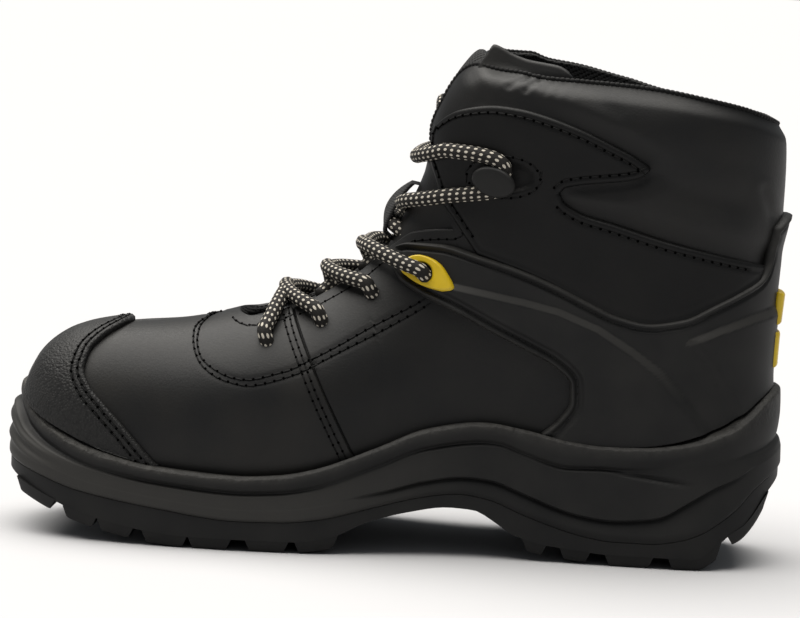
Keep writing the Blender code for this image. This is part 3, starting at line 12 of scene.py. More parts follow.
import bmesh
import bpy
import numpy as np
from mathutils import Matrix, Vector


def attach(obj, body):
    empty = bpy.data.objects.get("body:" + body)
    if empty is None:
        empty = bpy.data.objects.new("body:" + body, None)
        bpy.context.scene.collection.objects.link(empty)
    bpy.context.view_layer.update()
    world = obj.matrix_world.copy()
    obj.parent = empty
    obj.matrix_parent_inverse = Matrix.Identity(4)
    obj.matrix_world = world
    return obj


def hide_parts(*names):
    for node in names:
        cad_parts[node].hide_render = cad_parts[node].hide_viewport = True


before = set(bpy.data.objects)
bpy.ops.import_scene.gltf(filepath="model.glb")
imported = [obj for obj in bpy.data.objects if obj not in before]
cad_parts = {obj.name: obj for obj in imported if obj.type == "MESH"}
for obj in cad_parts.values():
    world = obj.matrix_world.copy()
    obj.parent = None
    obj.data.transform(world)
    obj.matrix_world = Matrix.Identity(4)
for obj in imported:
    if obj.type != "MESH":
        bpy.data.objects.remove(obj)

Array = np.ndarray
LOG = logging.getLogger("boot")
MM = 0.001
BODY = "root"
WELD = 4e-6
TINY = 1e-9
ROW_REACH = 5.0


class Side(IntEnum):
    """Sides of the boot, by the sign of y."""

    MEDIAL = -1
    LATERAL = 1

    @property
    def word(self) -> str:
        """Name of the side as names of pieces and columns hold it."""
        return self.name.lower()


class Slot(Enum):
    """Material slots of the record."""

    LEATHER = "leather"
    WEBBING = "webbing"
    SOLE = "sole_rubber"
    BUMPER = "bumper_rubber"
    COUNTER = "counter_plastic"
    HOOK = "hook_plastic"
    YELLOW = "yellow_plastic"
    INSOLE = "insole_cloth"
    LACE = "lace_cord"


def smoothstep(low: float, high: float, value: Array) -> Array:
    """Share from 0 to 1 that rises smoothly between two limits."""
    share = np.clip((np.asarray(value, float) - low) / (high - low), 0.0, 1.0)
    return share * share * (3.0 - 2.0 * share)


def fall(low: float, high: float, value: Array) -> Array:
    """Share from 1 to 0 that falls smoothly between two limits."""
    return 1.0 - smoothstep(low, high, value)


def bell(distance: Array, half_width: float) -> Array:
    """Soft hump of height 1 over a half width."""
    return fall(0.0, half_width, np.abs(distance))


def blend(first: Array, last: Array, share: Array) -> Array:
    """Lines by rows of values, each line from its first value to its last one."""
    return first[:, None] * (1.0 - share) + last[:, None] * share


def even(count: int, crowd: float = 0.6) -> Array:
    """Shares from 0 to 1 that lie closer together at both ends."""
    share = np.linspace(0.0, 1.0, count + 1)
    return share * (1.0 - crowd) + crowd * (1.0 - np.cos(math.pi * share)) / 2.0


def dome(share: Array) -> Array:
    """Quarter round from 0 to 1."""
    left = 1.0 - np.clip(share, 0.0, 1.0)
    return np.sqrt(np.clip(1.0 - left * left, 0.0, 1.0))


def smooth_read(keys: Sequence[float], values: Sequence[float], at: Array) -> Array:
    """Read a monotone cubic curve through the given points.

    Args:
        keys: rising places of the points.
        values: value at each place.
        at: places to read, held inside the range.

    Returns:
        The value at each place read.
    """
    keys = np.asarray(keys, float)
    values = np.asarray(values, float)
    gaps = np.diff(keys)
    slopes = np.diff(values) / gaps
    product = slopes[1:] * slopes[:-1]
    total = slopes[1:] + slopes[:-1]
    safe = np.where(np.abs(total) > TINY, total, 1.0)
    inner = np.where(product > 0.0, 2.0 * product / safe, 0.0)
    tangents = np.concatenate([[slopes[0]], inner, [slopes[-1]]])
    at = np.clip(np.asarray(at, float), keys[0], keys[-1])
    cell = np.clip(np.searchsorted(keys, at, side="right") - 1, 0, len(gaps) - 1)
    width = gaps[cell]
    share = (at - keys[cell]) / width
    square = share * share
    cube = square * share
    return (
        (2.0 * cube - 3.0 * square + 1.0) * values[cell]
        + (cube - 2.0 * square + share) * width * tangents[cell]
        + (3.0 * square - 2.0 * cube) * values[cell + 1]
        + (cube - square) * width * tangents[cell + 1]
    )


class Table:
    """Rows of named sizes."""

    def __init__(self, columns: str, rows: Sequence[Sequence[float]]) -> None:
        """Keep the rows under their column names, given as one line of words."""
        self.names = columns.split()
        self.data = {name: np.array([row[i] for row in rows], float) for i, name in enumerate(self.names)}

    def read(self, column: str, at: Array) -> Array:
        """Read a column on a smooth curve over the first column."""
        return smooth_read(self.data[self.names[0]], self.data[column], at)

    def stretch(self, columns: str, places: Array) -> list[Array]:
        """Read several columns at places counted in rows."""
        index = np.arange(len(self.data[self.names[0]]))
        return [smooth_read(index, self.data[name], places) for name in columns.split()]

    def stations(self, refine: int) -> Array:
        """Places between the rows, counted by the steps column times a factor."""
        places = [0.0]
        for row, steps in enumerate(self.data["steps"]):
            count = int(steps) * refine
            places.extend(row - 1 + (step + 1) / count for step in range(count))
        return np.array(places)


def polyline(points: Sequence[Sequence[float]], step: float = 1.0, closed: bool = False) -> Array:
    """Smooth line through a few points, with a point every step or so.

    Args:
        points: the points that the line passes.
        step: distance between the new points.
        closed: whether the line returns to its start.

    Returns:
        The new points.
    """
    given = np.asarray(points, float)
    if closed:
        given = np.vstack([given[-1], given, given[0], given[1]])
    else:
        given = np.vstack([2.0 * given[0] - given[1], given, 2.0 * given[-1] - given[-2]])
    made = []
    for p0, p1, p2, p3 in zip(given[:-3], given[1:-2], given[2:-1], given[3:]):
        count = max(2, int(np.linalg.norm(p2 - p1) / step))
        for share in np.arange(count) / count:
            square = share * share
            cube = square * share
            made.append(
                0.5 * (2.0 * p1 + (p2 - p0) * share + (2.0 * p0 - 5.0 * p1 + 4.0 * p2 - p3) * square
                       + (3.0 * p1 - p0 - 3.0 * p2 + p3) * cube)
            )
    if not closed:
        made.append(given[-2])
    return np.array(made)


def line_distance(line: Array, points: Array) -> Array:
    """Distance of each point to a line of points, in as many dimensions as they have."""
    shape = points.shape[:-1]
    points = points.reshape(-1, points.shape[-1])
    best = np.full(len(points), np.inf)
    for start, end in zip(line[:-1], line[1:]):
        way = end - start
        share = np.clip((points - start) @ way / max(way @ way, TINY), 0.0, 1.0)
        best = np.minimum(best, np.linalg.norm(points - start - share[:, None] * way, axis=1))
    return best.reshape(shape)


def inside(outline: Array, points: Array) -> Array:
    """Whether each point of the side view lies inside a closed outline."""
    x, z = points[..., 0], points[..., 1]
    odd = np.zeros(x.shape, bool)
    for (x1, z1), (x2, z2) in zip(outline, np.roll(outline, -1, axis=0)):
        if z1 != z2:
            odd ^= ((z1 > z) != (z2 > z)) & (x < (x2 - x1) * (z - z1) / (z2 - z1) + x1)
    return odd


def inset(line: Array, amount: float) -> Array:
    """Line moved to its left by an amount, in the side view."""
    ahead = np.gradient(line, axis=0)
    ahead /= np.maximum(np.linalg.norm(ahead, axis=1), TINY)[:, None]
    return line + np.stack([-ahead[:, 1], ahead[:, 0]], axis=1) * amount


def contour(x: Array, z: Array, away: Array, depth: float, last: bool = True) -> Array:
    """Places in side view at a depth inside an edge, one for each line that reaches it.

    Args:
        x: places along the boot, lines by rows.
        z: heights of the same shape.
        away: distance from the edge of the same shape.
        depth: how far inside the edge the row runs.
        last: whether the edge lies at the last row, or else at the first.

    Returns:
        The places, two for each line.
    """
    made = []
    way = -1 if last else 1
    for line_x, line_z, line in zip(x[:, ::way], z[:, ::way], away[:, ::way]):
        spot = int(np.argmax(line >= depth))
        if spot and np.hypot(line_x[spot] - line_x[0], line_z[spot] - line_z[0]) < ROW_REACH * depth:
            share = (depth - line[spot - 1]) / (line[spot] - line[spot - 1])
            made.append([at[spot - 1] + (at[spot] - at[spot - 1]) * share for at in (line_x, line_z)])
    return np.array(made)


@dataclass(frozen=True)
class Last:
    """Form of the foot that the boot is built on."""

    sole_length: float = 305.0
    toe_x: float = 6.0
    heel_x: float = 297.3
    toe_swing: float = 9.0
    swing_start: float = 10.0
    swing_end: float = 130.0
    ankle_low: float = 58.0
    ankle_high: float = 128.0
    tuck: float = 2.5
    tuck_height: float = 16.0
    back_fullness: float = 2.2
    sole_margin: float = 5.0
    toe_round: float = 50.0
    toe_fullness: float = 2.4
    heel_round: float = 40.0
    heel_fullness: float = 2.2
    rim_clear: float = 0.5
    rise_from: float = 140.0
    collar_front_z: float = 189.4
    rise_lean: float = 0.75
    lean_front: float = 178.0
    lean_back: float = 205.0
    normal_step: float = 0.5
    on_outline: float = 0.02
    samples: int = 2800
    batch: int = 4000
    plan_samples: int = 700
    front: Table = Table("x z round fullness", (
        (6.2, 28, 46, 2.4), (7.4, 49, 46, 2.4), (13.2, 65, 46, 2.4), (20, 72.6, 46, 2.4),
        (29, 77.6, 46, 2.4), (48, 81.6, 46, 2.3), (68, 83.6, 46, 2.3), (92, 89.6, 46, 2.3),
        (113, 97, 50, 2.2), (132, 108.6, 56, 2.2), (145, 120, 60, 2.3), (153, 134, 62, 2.5),
        (158.5, 148, 64, 2.7), (161, 163, 64, 2.9), (166, 177, 64, 3), (173, 188, 64, 3),
        (183.6, 201, 64, 3),
    ))
    back: Table = Table("z x round", (
        (28, 295.5, 36), (45, 297, 36), (60, 297.1, 37), (75, 296.2, 38), (90, 296.6, 40),
        (105, 297.6, 43), (120, 298.4, 47), (135, 298.8, 52), (150, 299, 56), (158, 298.9, 57.5),
        (163, 298.7, 58), (170, 298, 58), (178, 296.8, 58), (190, 294.6, 58), (205, 291.4, 58),
    ))
    plan: Table = Table("x medial lateral", (
        (5, 33, 42), (20, 34, 45), (40, 36, 49.5), (60, 40, 53.5), (80, 43.5, 55.5), (100, 45.8, 55.5),
        (120, 45.6, 53.5), (140, 42, 50), (160, 38, 46), (180, 35.2, 42.5), (200, 34, 40),
        (220, 34, 38.5), (240, 34.8, 37.8), (260, 35.2, 37), (305, 35, 36),
    ))
    shaft: Table = Table("z medial lateral", (
        (50, 36, 38), (90, 35.5, 37), (115, 37, 38), (135, 39, 40), (155, 41, 42), (175, 43, 44),
        (200, 43.5, 44.5),
    ))
    bed: Table = Table("x z", (
        (0, 34), (20, 28), (40, 24), (65, 21.2), (95, 20.5), (120, 22), (150, 27), (180, 32), (210, 35.5),
        (240, 37.5), (270, 38), (305, 38),
    ))
    lip: Table = Table("x medial lateral", (
        (0, 58, 58), (4, 53, 53), (8, 48.6, 48.6), (25, 40.3, 40.3), (41, 34.8, 34.8), (65, 30.4, 30.4),
        (96, 28.8, 28.8), (111, 29.8, 29.6), (126, 33, 32), (149, 41.8, 38.6), (168, 49.6, 44.6),
        (190, 52.8, 47.6), (204, 51, 47.4), (222, 47.3, 46.4), (235, 46.2, 46), (250, 46.5, 46.5),
        (264, 48.4, 48.4), (278, 52.4, 52.4), (286, 55.6, 55.6), (293, 60.4, 60.4), (299, 65.4, 65.4),
        (305, 69.4, 69.4),
    ))
    lateral_rise: Table = Table("x rise", (
        (160, 5), (190, 7), (212, 5.2), (235, 1), (258, -2.4), (280, -2.4), (294, 0),
    ))

    def __post_init__(self) -> None:
        """Work out the fine front outline with its inward normals."""
        chords = np.hypot(np.diff(self.front.data["x"]), np.diff(self.front.data["z"]))
        keys = np.concatenate([[0.0], np.cumsum(chords)])
        place = np.linspace(0.0, keys[-1], self.samples)
        fine = {name: smooth_read(keys, self.front.data[name], place) for name in self.front.names}
        slope_x = np.gradient(fine["x"], place)
        slope_z = np.gradient(fine["z"], place)
        size = np.hypot(slope_x, slope_z)
        fine.update(place=place, in_x=slope_z / size, in_z=-slope_x / size)
        object.__setattr__(self, "fine", fine)

    def near(self, x: Array, z: Array) -> tuple[Array, Array]:
        """Depth inside the front outline and the index of its nearest place."""
        spot = np.empty(len(x), int)
        for low in range(0, len(x), self.batch):
            part = slice(low, low + self.batch)
            far = (x[part, None] - self.fine["x"]) ** 2 + (z[part, None] - self.fine["z"]) ** 2
            spot[part] = np.argmin(far, axis=1)
        depth = (x - self.fine["x"][spot]) * self.fine["in_x"][spot]
        depth = depth + (z - self.fine["z"][spot]) * self.fine["in_z"][spot]
        return np.where(depth < self.on_outline, 0.0, depth), spot

    def outline(self, x: Array) -> list[Array]:
        """Point, inward normal, round and fullness of the front outline at places along the boot."""
        place = np.interp(x, self.fine["x"], self.fine["place"])
        names = ("x", "z", "in_x", "in_z", "round", "fullness")
        return [np.interp(place, self.fine["place"], self.fine[name]) for name in names]

    def front_x(self, z: Array) -> Array:
        """Place along the boot where the front outline reaches a height."""
        return np.interp(z, self.fine["z"], self.fine["x"])

    def axis_y(self, x: Array) -> Array:
        """Sideways place of the middle plane, which swings to the medial side at the toe."""
        return -self.toe_swing * fall(self.swing_start, self.swing_end, x)

    def full_width(self, x: Array, z: Array, side: Side) -> Array:
        """Half width before the shoulders are rounded."""
        share = smoothstep(self.ankle_low, self.ankle_high, z)
        width = self.plan.read(side.word, x) * (1.0 - share) + self.shaft.read(side.word, z) * share
        over = np.asarray(z, float) - self.bed.read("z", x)
        return width - self.tuck * fall(0.0, self.tuck_height, over)

    def slope(self, function: Callable[[Array], Array], at: Array) -> Array:
        """Rate of change of a function at a place."""
        step = self.normal_step
        return (function(at + step) - function(at - step)) / (2.0 * step)

    def skin(self, x: Array, z: Array, side: Side, offset: Array = 0.0) -> Array:
        """Points of the skin at places in side view, moved outward by an offset.

        Args:
            x: places along the boot, of any shape.
            z: heights of the same shape.
            side: side of the boot.
            offset: one offset, or one for each place.

        Returns:
            Points, with one more dimension than x.
        """
        x, z, offset = np.broadcast_arrays(*(np.asarray(given, float) for given in (x, z, offset)))
        shape = x.shape
        x, z, offset = x.ravel(), z.ravel(), offset.ravel()
        depth, spot = self.near(x, z)
        names = ("round", "fullness", "in_x", "in_z")
        front_round, full, front_x, front_z = (self.fine[name][spot] for name in names)
        back_round = self.back.read("round", z)
        back_depth = self.back.read("x", z) - x
        back_depth = np.where(back_depth < self.on_outline, 0.0, back_depth)
        front_left = np.clip(1.0 - depth / front_round, 0.0, 1.0)
        back_left = np.clip(1.0 - back_depth / back_round, 0.0, 1.0)
        front_term = front_left**full
        back_term = back_left**self.back_fullness
        weight = back_term / np.maximum(front_term + back_term, TINY)
        power = full + (self.back_fullness - full) * weight
        reach = np.clip(1.0 - front_term - back_term, 0.0, 1.0) ** (1.0 / power)
        width = self.full_width(x, z, side)
        points = np.stack([x, self.axis_y(x) + side * width * reach, z], axis=1)
        width_x = self.slope(lambda place: self.full_width(place, z, side), x)
        width_z = self.slope(lambda height: self.full_width(x, height, side), z)
        axis_x = self.slope(self.axis_y, x)
        back_slope = self.slope(lambda height: self.back.read("x", height), z)
        front_pull = full * front_left ** (full - 1.0) / front_round
        back_pull = self.back_fullness * back_left ** (self.back_fullness - 1.0) / back_round
        side_pull = power * reach ** (power - 1.0) / width
        spread = power * reach**power / width
        normal = np.stack(
            [
                -front_pull * front_x + back_pull - spread * width_x - side_pull * side * axis_x,
                side * side_pull,
                -front_pull * front_z - back_pull * back_slope - spread * width_z,
            ],
            axis=1,
        )
        normal /= np.linalg.norm(normal, axis=1)[:, None]
        return (points + normal * offset[:, None]).reshape(*shape, 3)

    def trace(self, line: Array, side: Side, offset: Array = 0.0) -> Array:
        """Points of the skin along a line of side view, moved outward by an offset."""
        return self.skin(line[:, 0], line[:, 1], side, offset)

    def ring_point(self, share: float, z: float, side: Side, offset: float) -> Array:
        """Point of the skin at a share of the way from toe to heel at one height."""
        front, back = float(self.front_x(z)), float(self.back.read("x", z))
        return self.skin(front + share * (back - front), z, side, offset)

    def crown(self, ridge_x: Array, half: Array, side: Side) -> tuple[Array, Array]:
        """Place in side view a half gap away from the middle, beside a place on the front outline."""
        x, z, in_x, in_z, front_round, full = self.outline(ridge_x)
        share = np.clip(np.asarray(half, float) / self.full_width(x, z, side), 0.0, 1.0)
        depth = front_round * (1.0 - (1.0 - share**full) ** (1.0 / full))
        return x + in_x * depth, z + in_z * depth

    def collar_rise(self, x: Array, z: Array, side: Side) -> Array:
        """Lift of the lateral collar."""
        if side == Side.MEDIAL:
            return np.zeros_like(np.asarray(z, float))
        return smoothstep(self.rise_from, self.collar_front_z, z) * self.lateral_rise.read("rise", x)

    def collar_lean(self, x: Array, rise: Array) -> Array:
        """Move to the rear that goes with the lift of the collar's front edge."""
        return rise * self.rise_lean * fall(self.lean_front, self.lean_back, x)

    def sole_place(self, x: Array) -> Array:
        """Place along the sole that goes with a place along the upper."""
        return (np.asarray(x, float) - self.toe_x) / (self.heel_x - self.toe_x) * self.sole_length

    def lip_z(self, place: Array, side: Side) -> Array:
        """Height of the sole's rim."""
        return self.lip.read(side.word, place)

    def above_rim(self, x: Array, side: Side) -> Array:
        """Lower edge of what stands over the sole's rim."""
        return self.lip_z(self.sole_place(x), side) + self.rim_clear

    def bed_z(self, x: Array) -> Array:
        """Floor of the cup at a place along the upper."""
        return self.bed.read("z", self.sole_place(x))

    def sole_half(self, x: Array, side: Side) -> Array:
        """Half width of the sole's plan."""
        x = np.asarray(x, float)
        toe = np.clip(1.0 - x / self.toe_round, 0.0, 1.0) ** self.toe_fullness
        heel = np.clip(1.0 - (self.sole_length - x) / self.heel_round, 0.0, 1.0) ** self.heel_fullness
        reach = np.clip(1.0 - toe, 0.0, 1.0) ** (1.0 / self.toe_fullness)
        reach = reach * np.clip(1.0 - heel, 0.0, 1.0) ** (1.0 / self.heel_fullness)
        return (self.plan.read(side.word, x) + self.sole_margin) * reach

    def row_shift(self) -> Array:
        """Move from the working sizes to the row's frame, in millimetres."""
        x = np.linspace(0.0, self.sole_length, self.plan_samples)
        low = np.min(self.axis_y(x) - self.sole_half(x, Side.MEDIAL))
        high = np.max(self.axis_y(x) + self.sole_half(x, Side.LATERAL))
        return np.array([-self.sole_length / 2.0, -(low + high) / 2.0, 0.0])

    def to_row(self, points: Array) -> Array:
        """Points in metres in the row's frame."""
        return (np.asarray(points, float) + self.row_shift()) * MM


LAST = Last()


def link(name: str, data: bpy.types.ID) -> bpy.types.Object:
    """New object of the scene that holds the data."""
    made = bpy.data.objects.new(name, data)
    bpy.context.scene.collection.objects.link(made)
    return made


def settle(data: bpy.types.Mesh, weld: float = 0.0) -> None:
    """Weld a mesh by a distance, turn its faces outward and shade it smooth."""
    work = bmesh.new()
    work.from_mesh(data)
    if weld:
        bmesh.ops.remove_doubles(work, verts=work.verts, dist=weld)
        bmesh.ops.dissolve_degenerate(work, edges=work.edges, dist=weld)
    bmesh.ops.recalc_face_normals(work, faces=work.faces)
    work.to_mesh(data)
    work.free()
    data.shade_smooth()


class Shape:
    """Points and faces gathered for one piece."""

    def __init__(self) -> None:
        """Start empty."""
        self.points: list[Array] = []
        self.wear: list[Array] = []
        self.painted_light: list[Array] = []
        self.faces: list[Array] = []
        self.slots: list[Array] = []
        self.count = 0

    def grid(self, rows: Array, wear: Array = 0.0, painted_light: Array = 0.0) -> Array:
        """Add a grid of points without faces.

        Args:
            rows: points in millimetres, lines by rows by three.
            wear: how worn each point is, from 0 to 1.
            painted_light: how much painted light each point carries, from 0 to 1, as painted lightening or
                painted highlight.

        Returns:
            The index of each point.
        """
        rows = np.asarray(rows, float)
        size = rows.shape[0] * rows.shape[1]
        self.points.append(rows.reshape(-1, 3))
        for values, given in ((self.wear, wear), (self.painted_light, painted_light)):
            values.append(np.broadcast_to(given, rows.shape[:2]).ravel())
        index = np.arange(self.count, self.count + size).reshape(rows.shape[:2])
        self.count += size
        return index

    def cover(self, index: Array, slot: Array = 0, wrap: bool = False) -> None:
        """Join a grid of points with four-sided faces, in one slot or a slot for each face."""
        if wrap:
            index = np.vstack([index, index[:1]])
        quads = np.stack([index[:-1, :-1], index[1:, :-1], index[1:, 1:], index[:-1, 1:]], axis=-1)
        self.faces.append(quads.reshape(-1, 4))
        self.slots.append(np.broadcast_to(slot, quads.shape[:2]).ravel())

    def strip(self, first: Array, second: Array, slot: int = 0, wrap: bool = False) -> None:
        """Join two lines of points."""
        self.cover(np.stack([first, second], axis=1), slot, wrap)

    def cap(self, loop: Array, slot: int = 0) -> None:
        """Close a loop of points with a fan about its middle."""
        points = np.concatenate(self.points)
        wear = np.concatenate(self.wear)
        middle = self.grid([[points[loop].mean(axis=0)]], wear[loop].mean())[0, 0]
        ahead = np.roll(loop, -1)
        self.faces.append(np.stack([loop, ahead, np.full_like(loop, middle), np.full_like(loop, -1)], axis=1))
        self.slots.append(np.full(len(loop), slot))

    def shell(self, outer: Array, inner: Array, out_slot: Array = 0, in_slot: Array = 0) -> None:
        """Cover two grids and join them along their four edges."""
        self.cover(outer, out_slot)
        self.cover(inner, in_slot)
        for pick in (0, -1):
            self.strip(outer[pick], inner[pick])
            self.strip(outer[:, pick], inner[:, pick])

    def pipe(self, rings: Array) -> None:
        """Cover rings of points, one in each row, and close both ends."""
        self.cover(rings.T, wrap=True)
        self.cap(rings[0])
        self.cap(rings[-1])

    def bridge(self, loop: Array) -> None:
        """Close a loop around the sole with faces from side to side."""
        half = len(loop) // 2
        self.strip(loop[: half + 1], np.concatenate([loop[:1], loop[: half - 1 : -1]]))

    def build(self, name: str, finishes: Sequence[bpy.types.Material]) -> bpy.types.Object:
        """Weld the gathered faces into a smooth closed mesh in the row's frame."""
        data = bpy.data.meshes.new(name)
        faces = [tuple(face[face >= 0].tolist()) for face in np.concatenate(self.faces)]
        data.from_pydata(LAST.to_row(np.concatenate(self.points)).tolist(), [], faces)
        data.polygons.foreach_set("material_index", np.concatenate(self.slots).astype(np.int32))
        for label, values in (("wear", self.wear), ("painted_light", self.painted_light)):
            layer = data.attributes.new(label, "FLOAT", "POINT")
            layer.data.foreach_set("value", np.concatenate(values).astype(np.float32))
        settle(data, WELD)
        for finish in finishes:
            data.materials.append(finish)
        return link(name, data)


def seat(piece: bpy.types.Object, slot: Slot, *nodes: str) -> bpy.types.Object:
    """Let a piece ride on the boot and stand for its solids."""
    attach(piece, BODY)
    if nodes:
        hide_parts(*nodes)
    LOG.info("%s: %d faces", piece.name, len(piece.data.polygons))
    return piece


class Nodes:
    """Small helper that lays out one material's nodes."""

    def __init__(self, name: str) -> None:
        """Start a material with its shader."""
        self.material = bpy.data.materials.new(name)
        self.material.use_nodes = True
        self.tree = self.material.node_tree
        self.shader = self.tree.nodes["Principled BSDF"]

    def add(self, kind: str, inputs: Optional[dict] = None, **settings: object) -> bpy.types.Node:
        """Add a node, set its properties, and set or link its inputs."""
        node = self.tree.nodes.new("ShaderNode" + kind)
        for key, value in settings.items():
            setattr(node, key, value)
        for key, value in (inputs or {}).items():
            self.put(node, key, value)
        return node

    def put(self, node: bpy.types.Node, key: object, value: object) -> None:
        """Set one input to a value, or link it to a socket."""
        if isinstance(value, bpy.types.NodeSocket):
            self.tree.links.new(value, node.inputs[key])
        else:
            node.inputs[key].default_value = value

    def math(self, operation: str, *values: object) -> bpy.types.NodeSocket:
        """Arithmetic on values or sockets."""
        return self.add("Math", dict(enumerate(values)), operation=operation).outputs[0]

    def line(self, value: bpy.types.NodeSocket, factor: float, plus: float) -> bpy.types.NodeSocket:
        """A value times a factor, plus a constant."""
        return self.math("ADD", self.math("MULTIPLY", value, factor), plus)

    def ramp(self, value: bpy.types.NodeSocket, low: float, high: float) -> bpy.types.NodeSocket:
        """Share from 0 to 1 as a value goes from low to high."""
        made = self.add("MapRange", {"Value": value, "From Min": low, "From Max": high})
        return made.outputs["Result"]

    def mix(self, share: object, first: object, second: object) -> bpy.types.NodeSocket:
        """Blend of two colours."""
        node = self.add("Mix", data_type="RGBA")
        for spot, value in ((0, share), (6, first), (7, second)):
            self.put(node, spot, (*value, 1.0) if isinstance(value, tuple) else value)
        return node.outputs[2]

    def place(self) -> bpy.types.NodeSocket:
        """Object coordinates."""
        return self.add("TexCoord").outputs["Object"]

    def noise(self, place: bpy.types.NodeSocket, size: float, detail: float = 3.0) -> bpy.types.NodeSocket:
        """Soft noise with features of a size in millimetres."""
        inputs = {"Vector": place, "Scale": 1.0 / (size * MM), "Detail": detail}
        return self.add("TexNoise", inputs).outputs[0]

    def cells(self, place: bpy.types.NodeSocket, size: float, feature: str = "F1") -> bpy.types.NodeSocket:
        """Distance pattern of cells of a size in millimetres."""
        node = self.add("TexVoronoi", {"Vector": place, "Scale": 1.0 / (size * MM)}, feature=feature)
        return node.outputs["Distance"]

    def relief(self, height: object, depth: float, after: object = None) -> bpy.types.NodeSocket:
        """Bump of a depth in millimetres over a height from 0 to 1."""
        inputs = {"Strength": 1.0, "Distance": depth * MM, "Height": height}
        if after is not None:
            inputs["Normal"] = after
        return self.add("Bump", inputs).outputs[0]

    def finish(self, colour: object, rough: object, normal: object, **sockets: float) -> bpy.types.Material:
        """Join colour, roughness and normal to the shader, and set its plain sockets."""
        for key, value in (("Base Color", colour), ("Roughness", rough), ("Normal", normal)):
            self.put(self.shader, key, (*value, 1.0) if isinstance(value, tuple) else value)
        for key, value in sockets.items():
            self.shader.inputs[key.replace("_", " ")].default_value = value
        return self.material


Colour = tuple[float, float, float]


@dataclass(frozen=True)
class Leather:
    """Black grain leather with a soft sheen."""

    name: str
    dark: Colour = (0.0062, 0.0063, 0.0065)
    light: Colour = (0.0105, 0.0100, 0.0092)
    gloss: float = 0.21
    rough: float = 0.48
    rough_span: float = 0.10
    grain: float = 0.75
    grain_depth: float = 0.035
    cloud: float = 26.0

    def make(self) -> bpy.types.Material:
        """Material with fine cells for the grain and slow changes of tone."""
        n = Nodes(self.name)
        place = n.place()
        cloud = n.noise(place, self.cloud)
        fine = n.noise(place, self.grain * 2.0, 5.0)
        tone = n.mix(n.ramp(cloud, 0.35, 0.68), self.dark, self.light)
        pores = n.cells(place, self.grain, "SMOOTH_F1")
        grain = n.relief(n.math("ADD", pores, n.math("MULTIPLY", fine, 0.8)), self.grain_depth)
        rough = n.line(fine, self.rough_span, self.rough - 0.5 * self.rough_span)
        return n.finish(tone, rough, grain, Specular_IOR_Level=self.gloss)


@dataclass(frozen=True)
class Moulded:
    """Moulded rubber or plastic, greyer where it is worn, and lighter where painted light is laid on."""

    name: str
    dark: Colour = (0.0066, 0.0067, 0.0069)
    light: Colour = (0.0115, 0.0114, 0.0110)
    # grey of worn grime, also used as the colour of the painted light
    dust_and_painted_light: Colour = (0.052, 0.050, 0.046)
    gloss: float = 0.18
    rough: float = 0.58
    speck: float = 0.55
    speck_depth: float = 0.03
    smear: float = 1.1
    cloud: float = 18.0
    # strength of a painted highlight on the counter's chamfers, faded in between two heights
    chamfer_highlight: float = 0.0
    highlight_low: float = 62.0
    highlight_high: float = 90.0

    def make(self) -> bpy.types.Material:
        """Material with a fine matte texture, grime from the wear attribute, and painted light from the
        painted_light attribute.
        """
        n = Nodes(self.name)
        place = n.place()
        cloud = n.noise(place, self.cloud, 4.0)
        speck = n.noise(place, self.speck, 4.0)
        wear = n.add("Attribute", attribute_name="wear").outputs["Fac"]
        patch = n.ramp(n.noise(place, 3.5, 5.0), 0.30, 0.75)
        tone = n.mix(n.ramp(cloud, 0.3, 0.7), self.dark, self.light)
        tone = n.mix(n.math("MULTIPLY", wear, n.line(patch, 0.65, 0.35)), tone, self.dust_and_painted_light)
        painted_light = n.add("Attribute", attribute_name="painted_light").outputs["Fac"]
        # painted highlight along the chamfers of the counter's raised fields, only on their upper parts
        if self.chamfer_highlight:
            height = n.add("SeparateXYZ", {0: place}).outputs[2]
            upper = n.ramp(height, self.highlight_low * MM, self.highlight_high * MM)
            band = n.math("MULTIPLY", n.ramp(painted_light, 0.06, 0.30), upper)
            painted_light = n.math("MULTIPLY", band, self.chamfer_highlight)
        # painted light mixed in: painted lightening on the sole's forefoot wall, painted highlight on the
        # counter's chamfers
        tone = n.mix(painted_light, tone, self.dust_and_painted_light)
        rough = n.line(speck, 0.14, self.rough - 0.07)
        skin = n.relief(n.math("MULTIPLY", wear, patch), self.smear, n.relief(speck, self.speck_depth))
        return n.finish(tone, rough, skin, Specular_IOR_Level=self.gloss)


@dataclass(frozen=True)
class Pebbled:
    """Scuff rubber with a coarse pebbled surface."""

    name: str
    low: Colour = (0.0045, 0.0046, 0.0048)
    high: Colour = (0.0120, 0.0118, 0.0113)
    pebble: float = 0.85
    depth: float = 0.34
    rough: float = 0.55

    def make(self) -> bpy.types.Material:
        """Material with rounded pebbles over a finer noise, with painted shade in the hollows and painted
        highlight on the pebble tops.
        """
        n = Nodes(self.name)
        place = n.place()
        warp = n.noise(place, 2.2, 3.0)
        pebbles = n.cells(place, self.pebble, "SMOOTH_F1")
        height = n.math("SUBTRACT", n.line(warp, 0.6, 0.7), pebbles)
        # colour follows the bump: painted shade in the hollows, painted highlight on the tops
        tone = n.mix(n.ramp(height, 0.2, 0.85), self.low, self.high)
        return n.finish(tone, self.rough, n.relief(height, self.depth), Specular_IOR_Level=0.24)


